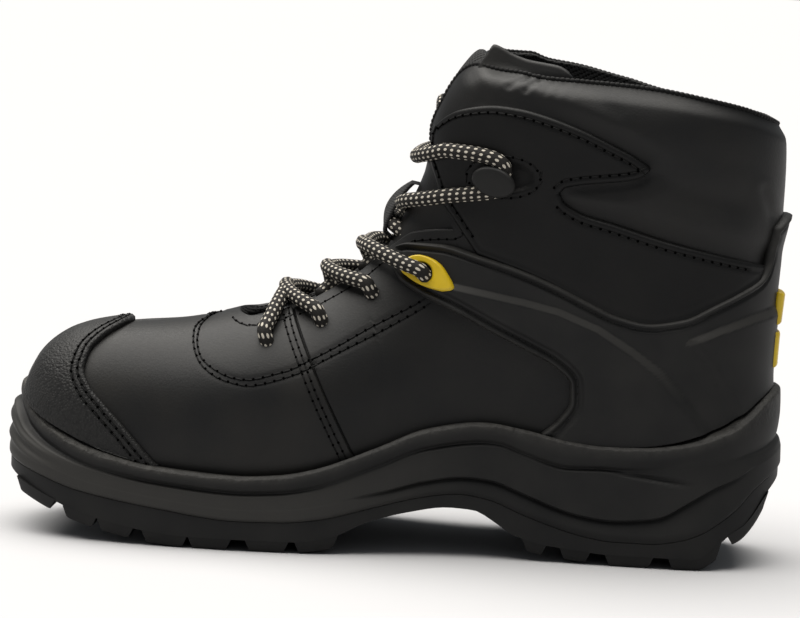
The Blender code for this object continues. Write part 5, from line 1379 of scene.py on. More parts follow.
@dataclass(frozen=True)
class HeelCounter:
    """Moulded counter round the heel with an arm to the fourth eyelet on each side."""

    sheet: Sheet = Sheet(foot=-1.3, top=2.2, edge=0.5, edge_round=1.6)
    back_top: float = 137.0
    flare: float = 2.2
    flare_low: float = 120.0
    flare_front: float = 284.0
    flare_back: float = 296.0
    refine: int = 6
    up: int = 60
    bead: float = 0.7
    bead_wide: float = 2.4
    groove: float = 0.9
    groove_at: float = 3.0
    groove_wide: float = 0.9
    step: float = 1.5
    arm: Table = Table("low_x low_z top_x top_z bow steps", (
        (150, 110.6, 151.6, 117.2, 0, 0), (153, 105.2, 157, 119.4, 0, 1), (162, 100, 169, 120, 0, 2),
        (176, 94, 184, 116.8, 0, 2), (190, 87.2, 200, 112.4, 0, 2), (203, 81.2, 215, 106.6, 0, 2),
        (214, 75.6, 227, 101, 1.5, 2), (220.4, 69.2, 238, 96.4, 4, 2), (220.8, 62.4, 249, 94.4, 7.5, 2),
        (216.8, 55.4, 262, 96.6, 12, 2), (210.6, 49.6, 274, 102.8, 15, 2),
    ))
    cup: tuple = (
        (226, 280, 106, 11, 2), (244, 284.6, 108.6, 7, 2), (262, 288, 110.6, 3, 2),
        (277, 290.4, 112.6, 0, 2), (286, 291.8, 114.6, 0, 2), (291.6, 293.3, 119.4, 0, 2),
        (294, 293.9, 126, 0, 2), (295.8, 294.6, 132, 0, 1),
    )
    fields: tuple = (
        ((150, 106), (176, 105.6), (188.2, 103.8), (201.7, 101.6), (215.2, 98.6), (230.7, 92.6),
        (243.7, 84.9), (255.5, 76.6), (262.9, 68.1), (269.7, 60.1), (276.6, 51.2), (280, 30), (150, 30)),
        ((263.1, 88.7), (275.4, 94.2), (287, 98.8), (297, 101.4), (310, 104), (310, 30), (297, 34),
        (285.4, 54.8), (277.5, 68.5), (270.4, 80.4)),
    )
    lit_points: tuple = (9, 5)
    chamfer: float = 3.0
    lean: int = 19
    unsewn: int = 26

    def lines(self, side: Side) -> tuple[Array, Array]:
        """Lines from the lower to the upper edge, arm tip to back."""
        columns = "low_x low_z top_x top_z bow"
        low_x, low_z, top_x, top_z, bow = self.arm.stretch(columns, self.arm.stations(self.refine))
        first = (low_x[-1], top_x[-1], top_z[-1], bow[-1], 0)
        cup = Table("low_x top_x top_z bow steps", (first, *self.cup))
        cup_low, cup_x, cup_z, cup_bow = cup.stretch("low_x top_x top_z bow", cup.stations(self.refine)[1:])
        back_low = float(LAST.above_rim(LAST.heel_x, side))
        share = np.linspace(0.0, 1.0, self.refine + 1)[1:]
        end_x, end_top = float(LAST.back.read("x", back_low)), float(LAST.back.read("x", self.back_top))
        last_low = cup_low[-1] + (end_x - cup_low[-1]) * share
        last_x = cup_x[-1] + (end_top - cup_x[-1]) * share
        last_z = cup_z[-1] + (self.back_top - cup_z[-1]) * share
        low_x = np.concatenate([low_x, cup_low, last_low])
        low_z = np.concatenate([low_z, LAST.above_rim(cup_low, side), LAST.above_rim(last_low, side)])
        low_z[-1] = back_low
        low_z = np.maximum(low_z, LAST.above_rim(low_x, side))
        top_x = np.concatenate([top_x, cup_x, last_x])
        top_z = np.concatenate([top_z, cup_z, last_z])
        share = even(self.up)[None, :]
        bow = np.concatenate([bow, cup_bow, np.zeros_like(last_x)])[:, None] * 2.0 * share * (1.0 - share)
        x = blend(low_x, top_x, share) + bow
        z = blend(low_z, top_z, share) - bow
        back = LAST.back.read("x", z)
        bend = back[-1] - x[-1]
        for step in range(1, self.lean + 1):
            amount = fall(0.0, self.lean, step - 1.0)
            x[-step] = np.minimum(x[-step] + bend * amount, back[-step])
        x[-1] = back[-1]
        return x, z

    def relief(self, x: Array, z: Array, away: Array) -> tuple[Array, Array]:
        """Bead, groove, raised fields and the lip flared at the back, with a painted highlight along the
        upper chamfers of the fields.
        """
        side_view = np.stack([x, z], axis=-1)
        made = self.bead * bell(away - 0.5 * self.bead_wide, 0.5 * self.bead_wide)
        made = made - self.groove * bell(away - self.groove_at, self.groove_wide)
        open_field = smoothstep(self.groove_at + 1.0, self.groove_at + 3.4, away)
        painted_light = np.zeros_like(x)
        for points, lit in zip(self.fields, self.lit_points):
            outline = np.asarray(points)
            held = inside(outline, side_view)
            within = np.where(held, line_distance(np.vstack([outline, outline[:1]]), side_view), 0.0)
            made = made + self.step * np.clip(within / self.chamfer, 0.0, 1.0) * open_field
            # painted highlight in a band across the chamfer along the lit part of each field's outline
            band = np.where(held, line_distance(outline[:lit], side_view), 0.0)
            band = np.clip(1.0 - np.abs(2.0 * band / self.chamfer - 1.0), 0.0, 1.0)
            painted_light = np.maximum(painted_light, band * (open_field > 0.5))
        flare = smoothstep(self.flare_low, self.back_top, z)
        flare = flare * smoothstep(self.flare_front, self.flare_back, x)
        return made + self.flare * flare, painted_light

    def build(self, finishes: Finishes, stitches: StitchRows) -> None:
        """Counter on both sides in one piece, with stitches in its groove."""
        shape = Shape()
        for side in Side:
            x, z = self.lines(side)
            points = LAST.skin(x, z, side)
            arm = len(self.arm.stations(self.refine))
            border = np.vstack([points[:arm, 0][::-1], points[0], points[:, -1]])
            away = line_distance(border, points)
            outer, inner = self.sheet.lay(shape, x, z, side, border, *self.relief(x, z, away))
            for pick in ((slice(None), 0), (slice(None), -1), 0):
                shape.strip(outer[pick], inner[pick])
            upper = contour(x, z, away, self.groove_at)[: -self.unsewn]
            lower = contour(x[:arm], z[:arm], away[:arm], self.groove_at, False)
            for row in (upper, lower):
                stitches.add(LAST.trace(row, side, self.sheet.top - self.groove - 0.1))
        seat(shape.build("heel_counter_moulding", [finishes.counter]), Slot.COUNTER, "heel_counter")


@dataclass(frozen=True)
class AnklePanel:
    """Leather panel over the ankle with a beak over its notch and an oval window for the hook."""

    sheet: Sheet = Sheet(foot=-1.2, top=1.5, edge=0.42, edge_round=1.9)
    refine: int = 5
    up: int = 30
    shared_rows: int = 3
    inset: float = 3.0
    seam_deep: float = 0.3
    seam_wide: float = 1.4
    window_deep: float = 1.5
    window_slope: float = 1.6
    window_row: float = 1.8
    window: tuple = (191.6, 147.4, 12, 6.2)
    belt: Table = Table("low_x low_z mid_x mid_z steps", (
        (182.4, 117, 167.6, 137, 0), (190, 114.6, 179, 139, 2), (200, 111.4, 195, 140.8, 2),
        (210, 107.4, 212.6, 142.2, 2), (213.4, 105.8, 214.2, 139.4, 1), (222, 101.6, 221.4, 134.9, 2),
        (235, 95.8, 234.6, 131.4, 1), (250, 92.6, 252, 126.5, 1), (262, 94.8, 266, 123.3, 1),
        (272, 99.6, 277, 120.9, 1), (283, 105.4, 286.6, 118.9, 1), (291.6, 111.4, 293, 117.4, 1),
    ))
    beak: Table = Table("mid_x mid_z top_x top_z steps", (
        (167.6, 137, 162.7, 152, 0), (179, 139, 163.2, 161.8, 2), (195, 140.8, 173, 171.6, 2),
        (212.6, 142.2, 187, 174.3, 2), (214.6, 144.2, 196, 173.6, 1), (221, 145.8, 206, 171.4, 2),
        (229, 146.9, 221, 166.4, 1), (236, 147.8, 232, 161.5, 1), (242.6, 149.4, 241, 157.2, 1),
        (246.6, 152.6, 246.4, 153.6, 1),
    ))

    def halves(self, side: Side) -> tuple[tuple[Array, Array], tuple[Array, Array], int]:
        """Grids of the belt and the beak in side view, and how many lines they share."""
        shared = int(self.belt.data["steps"][: self.shared_rows + 1].sum()) * self.refine
        low = self.belt.stretch("low_x low_z", self.belt.stations(self.refine))
        middle = np.array(self.belt.stretch("mid_x mid_z", self.belt.stations(self.refine)))
        beak_low = np.array(self.beak.stretch("mid_x mid_z", self.beak.stations(self.refine)))
        beak_low[:, : shared + 1] = middle[:, : shared + 1]
        top = self.beak.stretch("top_x top_z", self.beak.stations(self.refine))
        share = even(self.up)[None, :]
        grids = []
        for (x0, z0), (x1, z1) in ((low, middle), (beak_low, top)):
            x, z = blend(x0, x1, share), blend(z0, z1, share)
            rise = LAST.collar_rise(x, z, side)
            grids.append((x + LAST.collar_lean(x, rise), z + rise))
        return grids[0], grids[1], shared

    def outline(self, side: Side) -> Array:
        """Closed outline in side view, along the low edge and back over the beak."""
        (bx, bz), (kx, kz), shared = self.halves(side)
        belt = np.stack([bx, bz], axis=-1)
        beak = np.stack([kx, kz], axis=-1)
        return np.vstack(
            [belt[:, 0], belt[-1], belt[shared:, -1][::-1], beak[shared:, 0], beak[-1], beak[:, -1][::-1],
             beak[0][::-1], belt[0][::-1]]
        )

    def window_line(self, side: Side, grow: float = 0.0) -> Array:
        """Oval of the window in side view."""
        x, z, half_x, half_z = self.window
        turn = np.linspace(0.0, 2.0 * math.pi, 49)
        line_x = x + (half_x + grow) * np.cos(turn)
        line_z = z + (half_z + grow) * np.sin(turn)
        return np.stack([line_x, line_z + LAST.collar_rise(line_x, line_z, side)], axis=1)

    def build(self, side: Side, finishes: Finishes, stitches: StitchRows) -> None:
        """Panel with its window pressed down to the quarter, and its rows of stitches."""
        shape = Shape()
        belt, beak, shared = self.halves(side)
        outline = self.outline(side)
        border = LAST.trace(outline, side)
        window = self.window_line(side)
        sheets = []
        for x, z in (belt, beak):
            side_view = np.stack([x, z], axis=-1)
            away = line_distance(border, LAST.skin(x, z, side))
            hollow = np.where(inside(window, side_view), line_distance(window, side_view), 0.0)
            relief = -self.window_deep * smoothstep(0.0, self.window_slope, hollow)
            relief = relief - self.seam_deep * bell(away - self.inset, self.seam_wide)
            sheets.append(self.sheet.lay(shape, x, z, side, border, relief))
        (belt_out, belt_in), (beak_out, beak_in) = sheets
        all_lines, free = slice(None), slice(shared, None)
        for pick in ((all_lines, 0), 0, -1, (free, -1)):
            shape.strip(belt_out[pick], belt_in[pick])
        for pick in ((all_lines, -1), 0, -1, (free, 0)):
            shape.strip(beak_out[pick], beak_in[pick])
        piece = shape.build("ankle_panel_leather_" + side.word, [finishes.panel])
        seat(piece, Slot.LEATHER, "ankle_panel_" + side.word)
        height = self.sheet.top + 0.05
        far = [line_distance(border, LAST.skin(x, z, side)) for x, z in (belt, beak)]
        belt, beak = (*belt, far[0]), (*beak, far[1])
        rows = (
            contour(*beak, self.inset), contour(*(grid[shared:] for grid in beak), self.inset, False),
            contour(*(grid[shared:] for grid in belt), self.inset)[:-4],
            contour(*(grid.T for grid in beak), self.inset, False)[2:-8],
            contour(*(grid.T for grid in belt), self.inset, False)[6:],
            self.window_line(side, self.window_row),
        )
        for row in rows:
            stitches.add(LAST.trace(row, side, height))


@dataclass(frozen=True)
class Upper:
    """Vamp, quarters and padded collar as one wall with its lining."""

    wall: float = 2.6
    vamp_step: float = 1.3
    pad: float = 6.6
    pad_front: float = 178.0
    pad_full: float = 205.0
    pad_low: float = 138.0
    pad_high: float = 162.0
    puff: float = 2.4
    roll: float = 7.0
    roll_high: float = 23.0
    lift_front: float = 1.2
    rim_crown: float = 0.45
    rim_thin: float = 0.85
    binding_from: float = 158.0
    refine: int = 5
    rows: int = 84
    inner_every: int = 3
    toe_lines: int = 8
    vamp_lines: int = 7
    back_steps: int = 8
    toe_crown_x: float = 27.0
    cap_x: float = 48.0
    toe_base_x: float = 34.0
    toe_ease: float = 1.2
    throat_tip: float = 89.4
    vamp_row: int = 4
    crown_bias: float = 1.8
    crown_bias_lines: float = 3.0
    edge_bias: float = 1.6
    collar_back_x: float = 296.0
    cup_clear: float = 0.7
    tip_base_x: float = 92.0
    vamp_extra: tuple = (-0.12, -0.05, -0.02, 0.3, 0.7, 1.03, 1.08, 1.15)
    shadow: float = 0.45
    shadow_at: float = 1.04
    shadow_wide: float = 0.09
    roll_front: tuple = (172, 196)
    roll_back: tuple = (240, 296)
    roll_back_share: float = 0.95
    roll_rise: tuple = (146, 166)
    puff_near: tuple = (160, 112)
    puff_rise: tuple = (116, 132)
    puff_front: tuple = (168, 182)
    puff_panel: float = 9.0
    puff_edge: float = 7.0
    lift_wide: float = 9.0
    lift_ends: tuple = (172, 186)
    lift_rise: tuple = (150, 166)
    lift_from: float = 150.0
    wrinkle_reach: float = 30.0
    trough_deep: float = 0.22
    trough_wide: float = 1.5
    trough_top: float = 105.0
    edge_rows: tuple = (2.2, 4.4)
    throat_inset: float = 3.0
    throat_sewn: int = 31
    throat: Table = Table("ridge_x half_gap base_x steps", (
        (89.4, 0, 92, 0), (90.4, 10, 96, 1), (95, 18, 103, 2), (104, 19.2, 118, 2),
        (109.4, 17.6, 144.2, 3), (110, 17.5, 145, 1), (121, 15.6, 154.4, 2), (134, 15, 165, 2),
    ))
    edge: tuple = (
        (149.5, 119, 175, 2), (156, 123.2, 181, 1), (166, 124.8, 187, 1), (173.4, 125.4, 194, 1),
        (169, 133.5, 213, 1), (164.4, 142, 231, 2), (161.5, 152, 239, 1), (161.8, 163, 245, 1),
        (166.1, 175.2, 251, 2), (171.6, 184.6, 256, 2), (179, 189.8, 259, 1), (190, 189.4, 262, 2),
        (204, 186, 264, 3), (226, 184, 267, 3), (250, 182.2, 271, 2),
    )
    collar: Table = Table("x z", (
        (179, 189.8), (190, 189.4), (204, 186), (226, 184), (250, 182.2), (270, 179.3), (283, 176.6),
        (293, 173), (300, 170),
    ))
    vamp_edge: tuple = (
        (111.4, 94.4), (113.6, 88.1), (117, 81), (121.7, 71.7), (126.6, 61.5), (129.4, 55.8), (134, 46.7),
        (138.8, 37.6),
    )
    seams: tuple = (
        ((82, 86.8), (78.6, 85.7), (76.4, 83.6), (75.8, 81.6), (76, 77.9), (78.1, 72.9), (82.5, 69.3),
        (88.8, 66.5), (94.7, 65.4), (100.5, 65.8), (108, 68), (114, 70), (120.4, 73.6)), ((79.5, 86),
        (76, 84.4), (74.2, 82.4), (74, 80.6), (75, 76.1), (78.4, 70.4), (84.9, 65.9), (92.9, 63.7),
        (98.8, 63.3), (106.3, 65), (115, 68), (121.2, 71)), ((121.6, 74.6), (131.9, 80.5), (142.9, 87.3),
        (154.1, 93.6), (161, 97.6)), ((122.6, 72.4), (133.9, 78.8), (145, 84.9), (156.1, 91.5),
        (163, 95.8)),
    )
    wrinkles: tuple = (
        ((195.8, 187), (193.4, 184.4), (191.2, 181.8), 0.6, 1.5), ((200.6, 185.4), (199, 183),
        (197.6, 180.6), 0.55, 1.4), ((206.2, 184.2), (205.6, 182), (205.2, 179.6), 0.26, 1.2),
        ((210.6, 183.8), (210.1, 181.6), (209.8, 179.2), 0.26, 1.2), ((215.8, 183.2), (215.4, 181),
        (215.2, 178.8), 0.22, 1.2), ((177, 186), (180, 181), (181, 176), 0.35, 3), ((222, 183.4),
        (226, 178.6), (232, 174), 0.3, 4), ((289.8, 146.5), (291.9, 140.6), (294, 136), 0.45, 2.2),
        ((246, 152), (262, 146), (280, 142), 0.4, 6),
    )

    def throat_places(self) -> Array:
        """Stations along the throat, with more of them at the rear edge of the vamp."""
        row = self.vamp_row
        extra = row + np.array(self.vamp_extra)
        places = self.throat.stations(self.refine)[1:]
        places = places[(places <= row) | (places >= row + 1)]
        return np.unique(np.round(np.concatenate([places, extra]), 5))

    def lines(self, side: Side) -> tuple[Array, Array, int, Array]:
        """Lines in side view from the sole to the edge, toe to heel.

        Args:
            side: side of the boot.

        Returns:
            Places, heights, the line at the tip of the throat, and the vamp's step for each line.
        """
        k = self.refine
        toe_x = float(LAST.front_x(LAST.bed_z(LAST.toe_x)))
        t = np.linspace(0.0, 1.0, self.toe_lines * k + 1)
        v = np.linspace(0.0, 1.0, self.vamp_lines * k + 1)[1:]
        base_x = np.concatenate(
            [toe_x + t**2 * (self.toe_base_x - toe_x),
             self.toe_base_x + v * (self.tip_base_x - self.toe_base_x)]
        )
        top_x = np.concatenate(
            [self.toe_crown_x + (self.cap_x - self.toe_crown_x) * t**self.toe_ease,
             self.cap_x + v * (self.throat_tip - self.cap_x)]
        )
        bow = np.concatenate([1.0 - t**2, np.zeros_like(v)])
        ease = np.minimum(t * self.toe_lines / self.crown_bias_lines, 1.0)
        bias = np.concatenate([1.0 + (self.crown_bias - 1.0) * ease, np.full_like(v, self.crown_bias)])
        top_z = LAST.outline(top_x)[1]
        tip = len(top_x) - 1
        places = self.throat_places()
        ridge_x, half_gap, base = self.throat.stretch("ridge_x half_gap base_x", places)
        crown_x, crown_z = LAST.crown(ridge_x, half_gap, side)
        edge = Table("x z base_x steps", ((crown_x[-1], crown_z[-1], base[-1], 0),) + self.edge)
        edge_x, edge_z, edge_base = edge.stretch("x z base_x", edge.stations(k)[1:])
        back_z = float(self.collar.read("z", self.collar_back_x))
        back_x = float(LAST.back.read("x", back_z))
        back_base = float(LAST.back.read("x", LAST.bed_z(LAST.heel_x)))
        left = (1.0 - np.arange(1, self.back_steps * k + 1) / (self.back_steps * k)) ** 2
        rear_x = back_x - (back_x - edge_x[-1]) * left
        rear_z = self.collar.read("z", rear_x)
        rear_z[-1] = back_z
        shadow = self.shadow * bell(places - self.vamp_row - self.shadow_at, self.shadow_wide)
        step = np.concatenate([np.ones(tip + 1), fall(self.vamp_row, self.vamp_row + 1.0, places) - shadow])
        top_x = np.concatenate([top_x, crown_x, edge_x, rear_x])
        top_z = np.concatenate([top_z, crown_z, edge_z, rear_z])
        base_x = np.concatenate([base_x, base, edge_base, back_base - (back_base - edge_base[-1]) * left])
        bias = np.concatenate(
            [bias, np.full(len(crown_x), self.crown_bias), np.full(len(edge_x), self.edge_bias),
             np.linspace(self.edge_bias, 1.0, len(rear_x))]
        )
        bow = np.concatenate([bow, np.zeros(len(base_x) - len(bow))])
        step = np.concatenate([step, np.zeros(len(base_x) - len(step))])
        rise = LAST.collar_rise(top_x, top_z, side)
        top_x = top_x + LAST.collar_lean(top_x, rise)
        top_z = top_z + rise
        base_z = LAST.bed_z(base_x) + self.cup_clear
        share = np.linspace(0.0, 1.0, self.rows + 1)[None, :]
        share = 1.0 - (1.0 - share) ** bias[:, None]
        x, z = blend(base_x, top_x, share), blend(base_z, top_z, share)
        height = base_z[0] + share * (top_z[0] - base_z[0])
        x = x + bow[:, None] * (LAST.front_x(height) - (base_x[0] + share * (top_x[0] - base_x[0])))
        x[0] = LAST.front_x(z[0])
        bend = LAST.back.read("x", z[-1]) - x[-1]
        count = self.back_steps * k
        fade = np.linspace(0.0, 1.0, count + 1)[1:]
        x[-count:] += bend[None, :] * fade[:, None]
        x[-1] = LAST.back.read("x", z[-1])
        return x, z, tip, step

    def rolled(self, x: Array, z: Array, down: Array) -> Array:
        """How far the collar turns in towards its edge."""
        back = 1.0 - self.roll_back_share * smoothstep(*self.roll_back, x)
        share = smoothstep(*self.roll_front, x) * back * smoothstep(*self.roll_rise, z)
        return self.roll * share * np.clip(1.0 - down / self.roll_high, 0.0, 1.0) ** 2

    def lining_depth(self, x: Array, z: Array, down: Array) -> Array:
        """How far inside the skin the lining lies."""
        padding = self.pad * smoothstep(self.pad_front, self.pad_full, x)
        padding = padding * smoothstep(self.pad_low, self.pad_high, z)
        thin = 1.0 - self.rim_thin * np.clip(1.0 - down / self.roll_high, 0.0, 1.0) ** 2
        return self.vamp_step + self.wall + padding * thin + self.rolled(x, z, down)

    def relief(self, x: Array, z: Array, panel: Array, down: Array) -> Array:
        """Puffed collar, wrinkles and the troughs along the seams.

        Args:
            x: places along the boot, lines by rows.
            z: heights of the same shape.
            panel: outline of the ankle panel in side view.
            down: distance below the edge of the upper.

        Returns:
            What is added to the outer face.
        """
        view = np.stack([x, z], axis=-1)
        near = (z > self.puff_near[1]) & (x > self.puff_near[0])
        made = np.zeros_like(x)
        outline = np.vstack([panel, panel[:1]])
        away = np.where(inside(panel, view[near]), 0.0, line_distance(outline, view[near]))
        puff = smoothstep(0.0, self.puff_panel, away) * smoothstep(0.0, self.puff_edge, down[near])
        puff = puff * smoothstep(*self.puff_rise, z[near])
        made[near] += self.puff * puff * smoothstep(*self.puff_front, x[near])
        made -= self.rolled(x, z, down)
        front = fall(*self.lift_ends, x) * smoothstep(*self.lift_rise, z) * (x > self.lift_from)
        made += self.lift_front * fall(0.0, self.lift_wide, down) * front
        for first, middle, last, depth, wide in self.wrinkles:
            line = polyline((first, middle, last), 1.5)
            close = np.abs(x - middle[0]) < self.wrinkle_reach
            close &= np.abs(z - middle[1]) < self.wrinkle_reach
            far = line_distance(line, view[close])
            made[close] -= depth * (bell(far, wide) - 0.4 * bell(far - 1.6 * wide, wide))
        low = z < self.trough_top
        for points in self.seams:
            far = line_distance(polyline(points, 2.0), view[low])
            made[low] -= self.trough_deep * bell(far, self.trough_wide)
        return made

    def build(self, finishes: Finishes, stitches: StitchRows, binding: StitchRows, panel: AnklePanel) -> None:
        """Wall with leather outside, mesh inside and a rounded rim."""
        shape = Shape()
        turn = np.linspace(0.0, math.pi, 7)[1:-1]
        for side in Side:
            x, z, tip, step = self.lines(side)
            run = np.hypot(np.diff(x, axis=1), np.diff(z, axis=1))
            down = np.concatenate([np.cumsum(run[:, ::-1], axis=1)[:, ::-1], np.zeros((len(x), 1))], axis=1)
            down[: tip + 1] = 50.0
            relief = self.relief(x, z, panel.outline(side), down)
            outer = LAST.skin(x, z, side, (step[:, None] - 1.0) * self.vamp_step + relief)
            keep = np.unique(np.append(np.arange(0, self.rows + 1, self.inner_every), self.rows))
            inner = LAST.skin(x, z, side, -self.lining_depth(x, z, down))[:, keep]
            out_index = shape.grid(outer)
            in_index = shape.grid(inner)
            vamp = 0.5 * (step[1:] + step[:-1])[:, None] > 0.5
            shape.cover(out_index, np.broadcast_to(np.where(vamp, 0, 2), (len(x) - 1, self.rows)))
            shape.cover(in_index, 1)
            shape.strip(out_index[:, 0], in_index[:, 0], 1)
            ends, feet = outer[tip:, -1], inner[tip:, -1]
            rise = ends - outer[tip:, -4]
            rise /= np.linalg.norm(rise, axis=1)[:, None]
            rise[0] = 0.0
            thick = np.linalg.norm(ends - feet, axis=1)[:, None]
            crown = thick * self.rim_crown
            middle, half = (ends + feet) / 2.0, (ends - feet) / 2.0
            rim = [middle + half * math.cos(a) + rise * crown * math.sin(a) for a in turn]
            rim_index = shape.grid(np.stack(rim, axis=1))
            rim_index = np.column_stack([out_index[tip:, -1], rim_index, in_index[tip:, -1]])
            slots = np.full((len(rim_index) - 1, rim_index.shape[1] - 1), 2)
            slots[:, 2:] = 1
            shape.cover(rim_index, slots)
            self.sew(side, x, z, tip, stitches)
            front = int(np.argmax(ends[:, 2] > self.binding_from))
            binding.add(rim[0][front:-2])
        piece = shape.build("upper_leather", [finishes.vamp, finishes.lining, finishes.quarter])
        seat(piece, Slot.LEATHER, "upper")

    def sew(self, side: Side, x: Array, z: Array, tip: int, stitches: StitchRows) -> None:
        """Add the rows of stitches on the vamp, along its rear edge and along the throat."""
        for number, points in enumerate(self.seams):
            stitches.add(LAST.trace(polyline(points, 1.5), side, 0.0 if number < 2 else -self.vamp_step))
        edge = polyline(self.vamp_edge, 1.5)
        for depth in self.edge_rows:
            stitches.add(LAST.trace(inset(edge, -depth), side, 0.05))
        top = np.stack([x[tip + 3 :, -1], z[tip + 3 :, -1]], axis=1)
        row = inset(top[: len(self.throat_places()) + self.throat_sewn], -self.throat_inset)
        lift = np.where(row[:, 0] < 112.0, 0.05, -self.vamp_step)
        stitches.add(LAST.trace(row, side, lift))


@dataclass(frozen=True)
class Tongue:
    """Padded tongue with its webbing loop."""

    top: float = -4.8
    stations: int = 74
    across: int = 22
    edge_share: float = 0.35
    taper: float = 3.0
    mesh_from: float = 171.0
    facing_from: float = 169.0
    bulge: float = 3.2
    bulge_from: float = 140.0
    bulge_full: float = 150.0
    head_bulge: float = 2.0
    loop_low: float = 145.5
    loop_high: float = 156.4
    loop_half: float = 8.0
    loop_stand: float = 4.2
    loop_foot: float = 0.75
    loop_wall: float = 1.9
    facing: Table = Table("x z", (
        (178.4, 187.2), (179.8, 189.5), (182.1, 193.2), (184.8, 197), (188.1, 195.9), (192, 193.9),
        (198.6, 191.8), (205, 190.9), (210.1, 190.1), (213.3, 188.5), (215.6, 186),
    ))
    facing_low: float = 170.0
    facing_wall: float = 2.4
    facing_gap: float = 1.0
    facing_drop: float = 4.0
    facing_bend: float = 187.0
    facing_lean: float = 0.3
    loop_turn: float = 0.20
    loop_round: float = 0.7
    loop_sunk: float = 2.0
    head_long: float = 3.5
    head_least: float = 0.3
    head_from: float = 164.0
    head_full: float = 172.0
    rows: Table = Table("ridge_x half_width pad", (
        (84, 12, 2.4), (100, 25, 4), (120, 26, 6), (140, 31, 7), (150, 35.5, 7), (157, 35, 7),
        (161, 31, 7), (168, 29, 7.5), (178.9, 17, 6.5),
    ))

    def build(self, finishes: Finishes) -> None:
        """Tongue with leather in front, mesh at its head and inside, its loop and its two facings."""
        shape = Shape()
        end = self.rows.data["ridge_x"]
        ridge_x = end[0] + (end[-1] - end[0]) * even(self.stations, 0.5)
        half = self.rows.read("half_width", ridge_x)
        pad = self.rows.read("pad", ridge_x)
        head = self.head_least + (1.0 - self.head_least) * dome((end[-1] - ridge_x) / self.head_long)
        share_across = 1.0 - even(self.across, 0.5)[: self.across]
        outer, inner = [], []
        for side, shares in ((Side.MEDIAL, share_across), (Side.LATERAL, np.append(0.0, share_across[::-1]))):
            for share in shares:
                x, z = LAST.crown(ridge_x, half * share, side)
                taper = 1.0 - (1.0 - self.edge_share) * share**self.taper
                thick = pad * taper * head
                drop = pad * taper * (1.0 - head) * 0.4
                lift = self.bulge * smoothstep(self.bulge_from, self.bulge_full, ridge_x) * (1.0 - share**2)
                swell = smoothstep(self.head_from, self.head_full, ridge_x)
                lift = lift + self.head_bulge * swell * (1.0 - share**4)
                outer.append(LAST.skin(x, z, side, self.top - drop + lift))
                inner.append(LAST.skin(x, z, side, self.top - drop + lift - thick))
        spot = 0.5 * (ridge_x[1:] + ridge_x[:-1])
        size = (len(outer) - 1, len(spot))
        front = np.broadcast_to(np.where(spot > self.mesh_from, 1, 0), size)
        back = np.broadcast_to(np.where(spot > self.facing_from, 0, 1), size)
        shape.shell(shape.grid(np.array(outer)), shape.grid(np.array(inner)), front, back)
        piece = shape.build("tongue_pad", [finishes.tongue, finishes.lining])
        seat(piece, Slot.LEATHER, "tongue")
        self.build_loop(finishes)
        for side in Side:
            self.build_facing(side, finishes)

    def build_facing(self, side: Side, finishes: Finishes) -> None:
        """Leather wing from the head of the tongue along the inside of the collar."""
        shape = Shape()
        ends = self.facing.data["x"]
        x = np.broadcast_to(np.linspace(ends[0], ends[-1], 61)[:, None], (61, 31))
        top = self.facing.read("z", x)
        z = self.facing_low + (top - self.facing_low) * even(30, 0.7)[None, :]
        edge = np.minimum(np.minimum(x - ends[0], ends[-1] - x), top - z)
        collar = Upper()
        depth = collar.lining_depth(x, z, np.maximum(collar.collar.read("z", x) - z, 0.0)) + self.facing_gap
        lift = self.facing_wall * 0.5 * (1.0 - dome(edge / (self.facing_wall * 0.5)))
        if side == Side.LATERAL:
            z = z - self.facing_drop
        faces = []
        for offset in (-depth - lift, -depth - self.facing_wall + lift):
            points = LAST.skin(x, np.minimum(z, self.facing_bend), side, offset)
            points[..., 0] = x
            points[..., 1] -= side * self.facing_lean * np.maximum(z - self.facing_bend, 0.0)
            points[..., 2] = z
            faces.append(shape.grid(points))
        shape.shell(*faces)
        seat(shape.build("tongue_facing_" + side.word, [finishes.tongue]), Slot.LEATHER)

    def build_loop(self, finishes: Finishes) -> None:
        """Loop of webbing that stands off the tongue and holds the lace."""
        shape = Shape()
        share = np.linspace(0.0, 1.0, 37)
        arch = np.sin(math.pi * share)
        stand = self.top + self.bulge + self.loop_foot + self.loop_stand * arch**self.loop_round
        stand[[0, -1]] = self.top + self.bulge - self.loop_sunk
        x, z, in_x, in_z = LAST.outline(self.loop_low + share * (self.loop_high - self.loop_low))[:4]
        turned = self.loop_turn * arch
        section = []
        for turn in np.linspace(0.0, 2.0 * math.pi, 20, endpoint=False):
            wide = self.loop_half * np.sign(math.cos(turn)) * abs(math.cos(turn)) ** 0.35
            thick = 0.5 * self.loop_wall * (1.0 + np.sign(math.sin(turn)) * abs(math.sin(turn)) ** 0.6)
            section.append((wide, thick))
        rows = [
            [(x[i] - in_x[i] * (stand[i] + t + w * turned[i]), float(LAST.axis_y(x[i])) + w,
              z[i] - in_z[i] * (stand[i] + t + w * turned[i])) for w, t in section]
            for i in range(len(share))
        ]
        shape.pipe(shape.grid(np.array(rows)))
        seat(shape.build("tongue_loop_tape", [finishes.webbing]), Slot.WEBBING, "tongue_loop")


